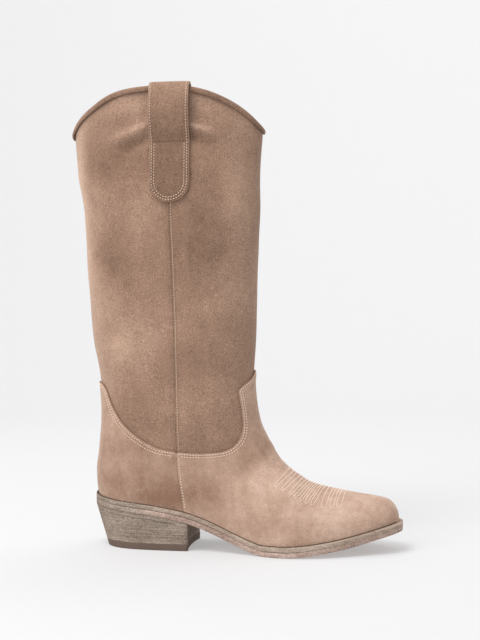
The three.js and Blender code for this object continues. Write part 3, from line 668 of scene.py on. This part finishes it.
def toneOf(points, look):  # painted light on the folds, and the listed patches of tone
    # painted highlight on the fold ridges and painted shade in their grooves
    out = foldsAt(points) * 0.085
    for x, z, wide, high, depth in look["toneAndLightPatches"]:
        out += depth * np.exp(-((points[:, 0] - x) / wide) ** 2 - ((points[:, 2] - z) / high) ** 2)
    return out


upper = {
    "seamGap": 0.04, "panelTop": 405.4, "panelLow": 76.5, "lowX": -47.5, "overlayTop": 87.4,  # side seam's ends
    "lastingDrop": (3.2, 2.0),  # how far the covers run below the feather line, and how much less at the toe
    "rows": (1.9, 4.2), "seamRow": 1.3,  # insets of the stitch rows
}
front, back, foot = FlatForm(0.6, 0.0), FlatForm(0.25, pi), FlatForm(0.55, 0.0)


def seamLine(side, zHigh, zLow, shift):  # shift moves it forward
    line = lines["seam"] + [shift, 0]
    line = line[(line[:, 1] <= zHigh) & (line[:, 1] >= zLow)]
    return locate(line[:, 0], line[:, 1], side)


def mirrored(line):
    return np.stack([line[:, 0], -line[:, 1]], -1)[::-1]


def seamTurnAt(v):
    s = sectionAt(np.array([v]))[0]
    low, high = 0.0, pi
    for _ in range(30):
        turn = (low + high) / 2
        p = formPoint(np.array(v), np.array(turn))
        ahead = p[0] > np.interp(-p[2], -lines["seam"][:, 1], lines["seam"][:, 0])
        low, high = (turn, high) if ahead else (low, turn)
    return low


def shaftOutline(forward):
    turn = seamTurnAt(float(locate([form["seamX"]], [form["legTop"]], -1)[0][0]))
    shift = upper["seamGap"] if forward else -upper["seamGap"]
    end = float(locate([upper["lowX"] + shift], [upper["panelLow"]], -1)[0][1])
    topTurns = (turn, -turn) if forward else (2 * pi - turn, turn)
    lowTurns = (-end, end) if forward else (end, 2 * pi - end)
    over = crossing(np.linspace(*topTurns, 160), heightOf("top"), 0.1, 4)
    under = crossing(np.linspace(*lowTurns, 120), heightOf("panelEnd"), 4.5, 16 if forward else 12)
    down, up = (seamLine(side, upper["panelTop"], upper["panelLow"] + 1, shift)
                for side in ((1, -1) if forward else (-1, 1)))
    return np.vstack([over, down, under, up[::-1]])


def featherPlaces(side, xFrom, xTo, count):  # the lasted edge, a little below the feather line
    x = xFrom + (xTo - xFrom) * (1 - np.cos(np.linspace(0, pi, count))) / 2
    most, less = upper["lastingDrop"]
    return locate(x, heightOf("feather")(x) - (most - less * smoothStep(x, 105, 141)), side)


def tongueTip():  # the front profile where the tongue ends
    line = lines["tongue"]
    v = np.linspace(4, 8, 400)
    s = sectionAt(v)
    gap = s[:, 1] - np.interp(s[:, 0], line[:, 0], line[:, 1])
    return float(v[np.argmin(np.abs(gap))])


def within(line):  # drop what lies outside the side view of the form
    places = locate(line[:, 0], line[:, 1], -1)
    p = formPoint(places[:, 0], places[:, 1])
    return places[np.hypot(p[:, 0] - line[:, 0], p[:, 2] - line[:, 1]) < 0.4]


def lowSeam(shift):  # the side seam from the overlay down to the lasted edge
    return seamLine(-1, upper["overlayTop"], heightOf("feather")(-41) - 2.6, shift)


def alongAt(place):
    return float(formPoint(place[0], place[1])[0])


def vampOutline():
    edge = np.vstack([within(lines["vampSide"]), within(lines["tongue"])[1:-1], [(tongueTip(), 0.0)]])
    edge = edge[edge[:, 1] >= 0]
    seam = lowSeam(upper["seamGap"])
    sole = featherPlaces(-1, alongAt(seam[-1]) + 0.4, 141.15, 150)
    half = np.vstack([sole[::-1], seam[::-1], edge])  # toe, heelward, up the seam, over the tongue
    return np.vstack([half, mirrored(half)[1:-1]])


def counterOutline():
    edge = within(lines["counter"])
    rim = crossing(np.linspace(pi, edge[0, 1], 30)[:-1], heightOf("counter"), 4, 9)
    seam = lowSeam(-upper["seamGap"])
    ends = featherPlaces(-1, -121.9, alongAt(seam[-1]) - 0.4, 70)
    half = np.vstack([rim, edge, seam, ends[::-1]])
    other = np.stack([half[:, 0], 2 * pi - half[:, 1]], -1)[::-1]
    return np.vstack([half, other[1:-1]])


def rowBeside(line, loop, inset, step=1.2):  # a row inside the outline, beside one of its edges
    line = evenly(line, 1.0)
    rows = [sideways(line, way * inset) for way in (-1, 1)]
    row = max(rows, key=lambda r: insideOf(r, loop).sum())
    row = row[insideOf(row, loop) & (distanceTo(row, evenly(loop, 0.8, closed=True)) > inset * 0.75)]
    return evenly(row, step)


def formStitches(flatForm, row, out, seed, **size):
    points = flatForm.place(row, np.full(len(row), out))
    at = flatForm.unflatten(row)
    return stitches(points, formNormal(at[:, 0], at[:, 1]), seed, **size)


def seamEdge(points):  # the edges that meet at the side seams are not left dark
    seamX = np.interp(-points[:, 2], -lines["seam"][:, 1], lines["seam"][:, 0])
    return 0.5 * (np.abs(points[:, 0] - seamX) < 0.9)


def addFormPiece(name, flatForm, loop, layer, paint, node, look=None, rows=(), spacing=2.4, shade=0.0,
                 rounding=0.5):
    inner, outer = form[layer]
    marks = [evenly(r, spacing * 0.7) for r in rows]
    points, faces, edge = sheetSolid(loop, flatForm.place, inner, outer, spacing, rounding, marks, 0.25)
    edge = np.minimum(np.maximum(edge, seamEdge(points)), 30)
    tone = toneOf(points, look) + shade if look else np.zeros(len(points))
    newPiece(name, points, faces, paints[paint], [node], {"edge": edge, "tone": tone})
    print(name, len(points))


flats = {
    "front": front.flatten(shaftOutline(True)), "back": back.flatten(shaftOutline(False)),
    "vamp": foot.flatten(vampOutline()), "counter": back.flatten(counterOutline()),
}


def seamRows(flatForm, loop, zHigh, zLow):
    return [rowBeside(flatForm.flatten(seamLine(side, zHigh, zLow, 0)), loop, upper["seamRow"])
            for side in (-1, 1)]


frontSeams = seamRows(front, flats["front"], 401, 90)
vampEdge = np.vstack([within(lines["vampSide"]), within(lines["tongue"])[1:], [(tongueTip(), 0.0)]])
vampEdge = evenly(vampEdge, 0.02)
vampEdges = [vampEdge, mirrored(vampEdge)]
counterEdge = within(lines["counter"])
counterEdges = [counterEdge, np.stack([counterEdge[:, 0], 2 * pi - counterEdge[:, 1]], -1)]
vampRows = [rowBeside(foot.flatten(e), flats["vamp"], inset) for e in vampEdges for inset in upper["rows"]]
counterRows = [rowBeside(back.flatten(e), flats["counter"], inset)
               for e in counterEdges for inset in upper["rows"]]
vampSeams = seamRows(foot, flats["vamp"], 82, 37)

addFormPiece("shaftFront", front, flats["front"], "panel", "shaft", "shaft_front_panel",
             shaftSuede, frontSeams, rounding=0.3)
addFormPiece("shaftBack", back, flats["back"], "panel", "shaft", "shaft_back_panel",
             shaftSuede, rounding=0.3)
addFormPiece("vamp", foot, flats["vamp"], "cover", "foot", "vamp",
             footSuede, vampRows + vampSeams)
addFormPiece("counterCover", back, flats["counter"], "cover", "foot", "counter_cover",
             footSuede, counterRows, shade=-0.24)
for name, flatForm, end in (("liningFront", front, "front"), ("liningBack", back, "back")):
    addFormPiece(name, flatForm, flats[end], "lining", "lining", "shaft_lining_" + end,
                 spacing=5)

toeLoops = [  # over the ridge from x to x, down to the tip at x, z, how wide
    (45.5, 49.5, 37.9, 56.4, 4.8), (52.0, 55.5, 44.0, 53.0, 4.0), (58.0, 61.0, 50.0, 49.6, 3.4),
    (63.5, 66.0, 54.6, 46.9, 3.4), (68.0, 70.5, 59.4, 44.4, 3.4), (72.5, 75.0, 64.2, 42.2, 3.4),
    (77.0, 79.5, 69.4, 40.9, 3.4), (82.5, 86.5, 79.0, 38.6, 4.6), (89.0, 92.0, 85.8, 38.1, 3.6),
    (94.5, 98.0, 92.0, 38.4, 4.4),
]


def ridge(x):
    v = np.linspace(8, 21, 700)
    at = np.interp(x, sectionAt(v)[:, 0], v)
    return foot.flatten(np.array([at, 0.0]))


def hairpin(xBack, xFront, x, z, width):
    first, last, tip = ridge(xBack), ridge(xFront), foot.flatten(locate(x, z, -1))
    run = unit(tip - (first + last) / 2)
    over = np.array([run[1], -run[0]])
    over = over * np.sign(over @ (first - last)) * width / 2
    half = spline([first, (first + tip) / 2 + over * 0.5, tip - run * 2.4 + over, tip - run * 0.6 + over * 0.7,
                   tip, tip - run * 0.6 - over * 0.7, tip - run * 2.4 - over, (last + tip) / 2 - over * 0.5,
                   last], 120)
    return evenly(np.vstack([half, half[::-1] * [-1, 1], half[:1]]), 0.8)


toeRows = [hairpin(*loop) for loop in toeLoops]
outside, covered = form["panel"][1], form["cover"][1]
rows = [formStitches(front, row, outside, i, length=1.3, radius=0.3) for i, row in enumerate(frontSeams)]
rows += [formStitches(foot, row, covered, 10 + i) for i, row in enumerate(vampRows + vampSeams)]
rows += [formStitches(back, row, covered, 20 + i) for i, row in enumerate(counterRows)]
toeStitches = [formStitches(foot, row, covered, 30 + i, pitch=2.2, length=1.5, radius=0.42)
               for i, row in enumerate(toeRows)]

binding = {  # its section, from the outer face over the rim and down inside, off the form and upward
    "section": [(2.95, -3.6), (3.5, -4.1), (4.3, -3.8), (4.9, -2.7), (4.95, -1.2), (4.4, 0.2), (3.3, 1.2),
                (1.9, 1.6), (0.7, 1.5), (-0.5, 1.1), (-1.3, 0.0), (-1.45, -1.5), (-1.45, -3.2), (-1.25, -4.4),
                (-0.8, -4.7), (-0.35, -4.4), (-0.3, -2.5), (-0.3, 0.0), (0.1, 0.35), (2.4, 0.35),
                (2.9, 0.0), (2.9, -2.5)],
    "wave": waves(21, 6, 24), "waveHeight": 0.12, "middle": 1.3, "shade": -0.2, "underside": -3.9,
}
turns = np.linspace(0, 2 * pi, 421)[:-1]
rim = crossing(turns, heightOf("top"), 0.1, 4)
rim = evenly(np.vstack([rim, rim[:1] + [0, 2 * pi]]), count=481)[:-1]
base = formPoint(rim[:, 0], rim[:, 1])
base = base + formNormal(rim[:, 0], rim[:, 1]) * softness(base)[:, None]
base = evenly(base, 1.3, closed=True)
run = unit(np.roll(base, -1, 0) - np.roll(base, 1, 0))
places = locate(base[:, 0], base[:, 2], -1)
places[:, 1] = np.where(base[:, 1] > 0, -places[:, 1], places[:, 1])
outward = formNormal(places[:, 0], places[:, 1])
upward = unit(np.cross(outward, run))
upward = np.where(upward[:, 2:] < 0, -upward, upward)
puff = 1 + binding["wave"](base) * binding["waveHeight"]
section = np.array(binding["section"])
reach = binding["middle"] + (section[None, :, :1] - binding["middle"]) * puff[:, None, None]
points, faces = sweepLoop(base[:, None] + outward[:, None] * reach + upward[:, None] * section[None, :, 1:])
# the binding's lowest edge is painted dark: painted shade in the crease beneath the binding
newPiece("binding", points, faces, paints["shaft"], ["topline_binding"],
         {"edge": np.full(len(points), 3.0),
          "tone": toneOf(points, shaftSuede) + binding["shade"]
          - np.tile(section[:, 1] < binding["underside"], len(base)) * 1.0})
print("binding", len(points))

strap = {"width": 35.0, "rise": 2.5, "gap": 0.9, "standOff": 6.6, "legOut": 3.5, "shoulder": 4.2,
         "rows": (1.9, 4.1), "plies": {"Backing": (0.0, 1.0), "": (1.3, 2.3)}}
legOut, gap = strap["legOut"], strap["gap"]
off, rise, shoulder = strap["standOff"], strap["rise"], strap["shoulder"]
middle = (legOut - gap) / 2
loopLine = spline([  # off the form and above the leg's top, from the outer end over the rim and down inside
    (legOut, -102), (legOut, -56), (legOut, -48), (legOut + off * 0.5, -37), (legOut + off, -22),
    (legOut + off * 0.7, -7), (middle + shoulder, rise - 1.7), (middle, rise), (middle - shoulder, rise - 1.7),
    (-gap - off * 0.7, -7), (-gap - off, -22), (-gap - off * 0.5, -37), (-gap, -48), (-gap, -74)], 500)
loopRun = np.concatenate([[0], np.cumsum(np.linalg.norm(np.diff(loopLine, axis=0), axis=1))])
loopSide = sideways(loopLine, 1.0) - loopLine
radius = strap["width"] / 2
strapLoop = np.array([(radius * math.cos(a), 1 + radius + radius * math.sin(a)) for a in np.linspace(-pi, 0, 40)]
                     + [(radius, loopRun[-1] - 3), (radius - 3, loopRun[-1]), (3 - radius, loopRun[-1]),
                        (-radius, loopRun[-1] - 3)])  # round at the outer end, corners cut at the inner one


def strapPlace(side):
    def place(flat, out):
        out = np.broadcast_to(out, len(flat))
        line = [np.interp(flat[:, 1], loopRun, loopLine[:, k]) for k in (0, 1)]
        lean = [np.interp(flat[:, 1], loopRun, loopSide[:, k]) for k in (0, 1)]
        x = form["seamX"] + flat[:, 0]
        z = form["legTop"] + line[1] + out * lean[1]
        bow = 0.5 * np.sin(flat[:, 1] * 0.11 + 1) * smoothStep(flat[:, 1], 60, 80) * (1 - (flat[:, 0] / 20) ** 2)
        y = halfWidthAt(x, z, side) + line[0] + out * lean[0] + bow
        point = np.stack([x, side * y, z], -1)
        attached = 1 - smoothStep(flat[:, 1], 50, 64)
        point[:, 1] += side * softness(point) * attached
        return point
    return place


def strapNormal(place, row, out):  # away from the strap's outer face
    step = 0.4
    along = place(row + [0, step], out) - place(row - [0, step], out)
    over = place(row + [step, 0], out) - place(row - [step, 0], out)
    normal = unit(np.cross(over, along))
    return normal * np.sign((normal * (place(row, out + 1) - place(row, out))).sum(1, keepdims=True))


def strapTone(points, edge):  # painted highlight over the bend at the top, darker towards the lower end, and rubbed pale along the edges
    z = points[:, 2]
    bend = 0.2 * smoothStep(z, 392, 406) - 0.1 * (1 - smoothStep(z, 330, 350))
    return bend - 0.26 + 0.42 * np.exp(-(edge / 0.8) ** 2)


def startedAt(row, i):
    return np.roll(row, -i, 0)


for side, label in ((-1, "Lateral"), (1, "Medial")):
    place = strapPlace(side)
    nodes = "pull_strap_backing_" + label.lower(), "pull_strap_" + label.lower()
    around = evenly(strapLoop, 1, closed=True)
    outerRow, innerRow = (evenly(sideways(around, -inset, closed=True), 1.0, closed=True)
                          for inset in strap["rows"])
    outerRow = outerRow[outerRow[:, 1] < loopRun[-1] - 14]
    farEnd = np.hypot(outerRow[:, 0] + radius, outerRow[:, 1] - outerRow[:, 1].max())
    outerRow = startedAt(outerRow, np.argmin(farEnd))
    innerRow = innerRow[innerRow[:, 1] < 52]
    innerRow = startedAt(innerRow, np.argmax(innerRow[:, 1] - innerRow[:, 0] * 0.2))
    for (ply, (inner, outer)), node in zip(strap["plies"].items(), nodes):
        marks = [] if ply else [outerRow[::2], innerRow[::2]]
        points, faces, edge = sheetSolid(strapLoop, place, inner, outer, 2.2, 0.4, marks, 0.2)
        newPiece("strap" + ply + label, points, faces, paints["lining" if ply else "shaft"], [node],
                 {"edge": np.clip(edge, 0.45, 30), "tone": strapTone(points, edge)})
    top = strap["plies"][""][1]
    for k, row in enumerate((outerRow, innerRow)):
        normal = strapNormal(place, row, top)
        cuts = np.where(np.linalg.norm(np.diff(row, axis=0), axis=1) > 6)[0]
        for part in np.split(np.arange(len(row)), cuts + 1):
            if len(part) > 3:
                rows.append(stitches(place(row[part], top), normal[part], 40 + k, length=1.3, radius=0.36))
    cross = np.stack([np.linspace(-11.5, 12.5, 14), np.full(14, 54.6)], -1)
    verts, faces = stitches(place(cross, top), strapNormal(place, cross, top), 50, pitch=2.7, length=1.5,
                            radius=0.45)
    newPiece("crossStitch" + label, verts, faces, paints["darkThread"])
print("straps")

def edgeOf(outer, into):
    for _ in range(30):
        x = (outer + into) / 2
        if halfWidthAt(x, heightOf("feather")(x), -1) >= 0:
            into = x
        else:
            outer = x
    return into


heelEnd, toeEnd = edgeOf(-135, -80), edgeOf(150, 100)


def planOutline(start, end, inset=0.0, rise=0.0):
    x = (start + end) / 2 - np.cos(np.linspace(0, pi, 160)) * (end - start) / 2
    z = heightOf("feather")(x) + rise
    sides = [np.stack([x, side * (np.maximum(halfWidthAt(x, z, side), 0) - inset)], -1) for side in (-1, 1)]
    return evenly(np.vstack([sides[0], sides[1][::-1]]), 1.5, closed=True)


sole = {
    "weltLow": 4.3, "top": 4.6, "low": 9.1,  # depths below the feather line
    "cover": 4.3,  # from the plan out to the face of the upper
    "reach": (0.8, 2.6, 1.8),  # how far the edge stands out at the heel, and how much more at the ball and toe
}
plan = planOutline(heelEnd, toeEnd)
planOut = sideways(plan, 1, closed=True) - plan
planReach = (sole["reach"][0] + sole["reach"][1] * smoothStep(plan[:, 0], -15, 40)
             + sole["reach"][2] * smoothStep(plan[:, 0], 120, toeEnd))


def bandPlace(high, low):  # depths below the feather line; out is 0 at the low face and 1 at the high one
    top, bottom = heightOf("feather", high), heightOf("feather", low)

    def place(flat, out):
        z = bottom(flat[:, 0]) + out * (top(flat[:, 0]) - bottom(flat[:, 0]))
        return np.stack([flat[:, 0], flat[:, 1], z], -1)
    return place


def waistTone(points):  # the waist of the sole is darker than its forepart
    return -0.14 * smoothStep(points[:, 0], -70, -45) * (1 - smoothStep(points[:, 0], -10, 30))


def addSlab(name, loop, place, paint, nodes, spacing=3.0, rounding=0.5, profile=leatherEdge, holes=(),
            tone=0.0):
    points, faces, edge = sheetSolid(loop, place, 0.0, 1.0, spacing, rounding, holes=holes, profile=profile)
    newPiece(name, points, faces, paints[paint], nodes,
             {"edge": np.minimum(edge, 30), "greyed": smoothStep(-points[:, 0], 62, 100),
              "tone": tone + waistTone(points) * (name == "outsole")})


def ringAround(section):  # a closed section, by distances out from the plan and depths below the feather line
    return sweepLoop(np.stack([
        np.hstack([plan + planOut * np.broadcast_to(out, len(plan))[:, None],
                   heightOf("feather", depth)(plan[:, 0])[:, None]]) for out, depth in section], 1))


soleLoop = plan + planOut * (sole["cover"] + planReach)[:, None]
addSlab("outsole", soleLoop, bandPlace(sole["top"], sole["low"]), "soleEdge", ["outsole"],
        3.0, 0.7, [(0.6, 0.03), (0.95, 0.16), (1.0, 0.5), (0.95, 0.85), (0.6, 0.98)])
weltEdge = sole["cover"] + planReach
points, faces = ringAround([
    (4.45, 0.8), (4.7, 0.35), (weltEdge - 0.8, 0.3), (weltEdge - 0.25, 0.5), (weltEdge, 1.0), (weltEdge, 3.7),
    (weltEdge - 0.25, 4.15), (weltEdge - 0.8, sole["weltLow"]), (4.45, sole["weltLow"])])
newPiece("welt", points, faces, paints["weltEdge"], ["welt"],
         {"edge": np.full(len(points), 3.0), "tone": waistTone(points),
          "greyed": smoothStep(-points[:, 0], 50, 90)})
# a dark strip of painted shade along the crease between upper and welt
points, faces = ringAround([(4.2, -0.45), (4.6, -0.35), (4.8, 0.1), (4.7, 0.6), (4.2, 0.6)])
newPiece("weltShadeStrip", points, faces, paints["creaseShade"])  # painted shade between upper and welt
sockPlan = planOutline(heelEnd + 1, toeEnd - 3, 0.8, 3.0)
addSlab("sockLiner", sockPlan, bandPlace(-4.9, -3.1), "lining", ["sock_liner"], 5.0, 0.5)
print("sole")

heel = {"breast": -38.0, "hollow": 3.0, "length": 0.872, "width": 0.9, "topLift": 6.0, "wedge": 18.6,
        "shades": (-0.06, -0.16, -0.1), "pins": ((-104, 0), (-92, 16), (-92, -16), (-54, 18), (-54, -18)),
        "pinHole": 2.3}
breast = heel["breast"]
seatHalf = np.abs(soleLoop[np.abs(soleLoop[:, 0] - breast) < 12][:, 1]).max()
breastLine = spline([(breast, seatHalf), (breast - 2.2, seatHalf * 0.55), (breast - heel["hollow"], 0),
                     (breast - 2.2, -seatHalf * 0.55), (breast, -seatHalf)], 40)
rear = soleLoop[soleLoop[:, 0] < breast - 2]


def roundTheBack(half):
    return half[np.argsort(np.arctan2(half[:, 1], half[:, 0] + 70))]


heelLoop = np.vstack([roundTheBack(rear[rear[:, 1] <= 0]), breastLine[::-1], roundTheBack(rear[rear[:, 1] > 0])])
heelHeight = float(heightOf("feather", sole["low"])(heelEnd))


def heelPlace(low, high):
    def place(flat, out):
        z = low(flat[:, 0]) + out * (high(flat[:, 0]) - low(flat[:, 0]))
        share = np.clip(z / heelHeight, 0, 1)
        x = breast + (flat[:, 0] - breast) * (heel["length"] + (1 - heel["length"]) * share)
        return np.stack([x, flat[:, 1] * (heel["width"] + (1 - heel["width"]) * share), z], -1)
    return place


def level(z):
    return lambda x: np.full(len(x), float(z))


def pinHole(x, y):
    angle = np.linspace(0, 2 * pi, 13)[:-1]
    drawnX, drawnY = breast + (x - breast) / heel["length"], y / heel["width"]
    size = heel["pinHole"]
    return np.stack([drawnX + size * np.cos(angle), drawnY + size * np.sin(angle)], -1)[::-1]


liftEdge = [(0.6, 0.02), (1.0, 0.12), (1.0, 0.9), (0.6, 0.99)]
addSlab("topLift", heelLoop, heelPlace(level(0), level(heel["topLift"])), "rubber", ["top_lift"],
        3.0, 0.3, liftEdge, [pinHole(x, y) for x, y in heel["pins"]])
thickness = (heel["wedge"] - heel["topLift"]) / len(heel["shades"])
stack = []  # name, node, low face, high face, rounding of the edges, tone
for i, shade in enumerate(heel["shades"]):
    low = heel["topLift"] + i * thickness
    stack.append((f"heelLift{i + 1}", f"heel_lift_{i + 1}", level(low), level(low + thickness), 0.06, shade))
stack += [
    ("heelWedge", "heel_wedge", level(heel["wedge"]), heightOf("feather", 13.3), 0.06, -0.08),
    ("heelSeatLift", "heel_seat_lift", heightOf("feather", 13.0), heightOf("feather", 9.4), 0.08, -0.04),
]
for name, node, low, high, rounding, shade in stack:
    addSlab(name, heelLoop, heelPlace(low, high), "heel", [node], 3.0, rounding, liftEdge,
            tone=shade)
print("heel")

for name, parts, paint in (("stitching", rows, "thread"), ("toeStitching", toeStitches, "toeThread")):
    verts, faces = joinMeshes(parts)
    newPiece(name, verts, faces, paints[paint])
    print(name, len(verts))

# pieces inside the boot, kept as they are and given their materials
carried = {
    "board": ["heel_stiffener", "toe_puff", "vamp_interlining", "insole"], "cork": ["cork_filler"],
    "lining": ["vamp_lining", "heel_lining"],
    "steel": ["steel_shank", "heel_screw"] + [f"heel_nail_{i}" for i in range(1, 5)]
             + [f"top_lift_pin_{i}" for i in range(1, 6)],
}
for paint, nodes in carried.items():
    for node in nodes:
        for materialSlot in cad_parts[node].material_slots:
            materialSlot.material = paints[paint]

studio = {  # metres and watts
    "floor": colour(179, 179, 180), "glow": 0.335, "world": 0.4, "flat": 1.3, "bend": 1.2, "wall": 3.4,
    "distance": 0.95, "azimuth": math.radians(9), "aim": (0.0037, 0.0), "height": 0.203, "lens": 59.5,
    "lamps": {  # where, aimed at, size, power
        "key": ((-0.45, -0.75, 1.75), (0, 0, 0.2), (0.9, 0.9), 23),
        "frontLeft": ((-1.4, -1.5, 0.9), (0, 0, 0.2), (1.2, 1.2), 13),
        "behind": ((0.3, 0.9, 2.2), (0, 2.3, 0.7), (2.0, 1.2), 23),
    },
}
flat, bend, spokes = studio["flat"], studio["bend"], 72
bowl = [(0.0, 0.0), (0.6, 0.0), (flat, 0.0)]  # the floor curves up into a wall all round
bowl += [(flat + bend * math.sin(a), bend - bend * math.cos(a)) for a in np.linspace(0, pi / 2, 16)[1:]]
bowl.append((flat + bend, studio["wall"]))
angles = np.linspace(0, 2 * pi, spokes + 1)[:-1]
floorMesh = bpy.data.meshes.new("floor")
floorMesh.from_pydata([(r * math.cos(a), r * math.sin(a), z) for r, z in bowl for a in angles], [],
                      [(i * spokes + k, i * spokes + (k + 1) % spokes, (i + 1) * spokes + (k + 1) % spokes,
                        (i + 1) * spokes + k) for i in range(len(bowl) - 1) for k in range(spokes)])
floorMesh.polygons.foreach_set("use_smooth", [True] * len(floorMesh.polygons))
floor = bpy.data.objects.new("floor", floorMesh)
bpy.context.scene.collection.objects.link(floor)
floorPaint = Paint("floorPaper", Roughness=0.9, Specular_IOR_Level=0.05, Emission_Color=colour(255, 255, 255),
                   Emission_Strength=studio["glow"])
floorMesh.materials.append(floorPaint.finish(studio["floor"]))

world = bpy.data.worlds.new("studio")
bpy.context.scene.world = world
world.use_nodes = True
world.node_tree.nodes["Background"].inputs["Color"].default_value = (1, 1, 1, 1)
world.node_tree.nodes["Background"].inputs["Strength"].default_value = studio["world"]

for name, (place, aim, size, power) in studio["lamps"].items():
    lamp = bpy.data.lights.new(name, "AREA")
    lamp.shape, lamp.size, lamp.size_y, lamp.energy = "RECTANGLE", size[0], size[1], power
    holder = bpy.data.objects.new(name, lamp)
    holder.location = place
    holder.rotation_euler = (Vector(aim) - Vector(place)).to_track_quat("-Z", "Y").to_euler()
    bpy.context.scene.collection.objects.link(holder)

lens = bpy.data.cameras.new("camera")
lens.lens, lens.sensor_width, lens.sensor_fit = studio["lens"], 36, "AUTO"
camera = bpy.data.objects.new("camera", lens)
bpy.context.scene.collection.objects.link(camera)
target = Vector((studio["aim"][0] + origin[0], studio["aim"][1] + origin[1], studio["height"]))
outFrom = Vector((math.sin(studio["azimuth"]), -math.cos(studio["azimuth"]), 0))
camera.location = target + outFrom * studio["distance"]
camera.rotation_euler = (target - camera.location).to_track_quat("-Z", "Y").to_euler()
bpy.context.scene.camera = camera
bpy.context.scene.view_settings.view_transform = "Standard"
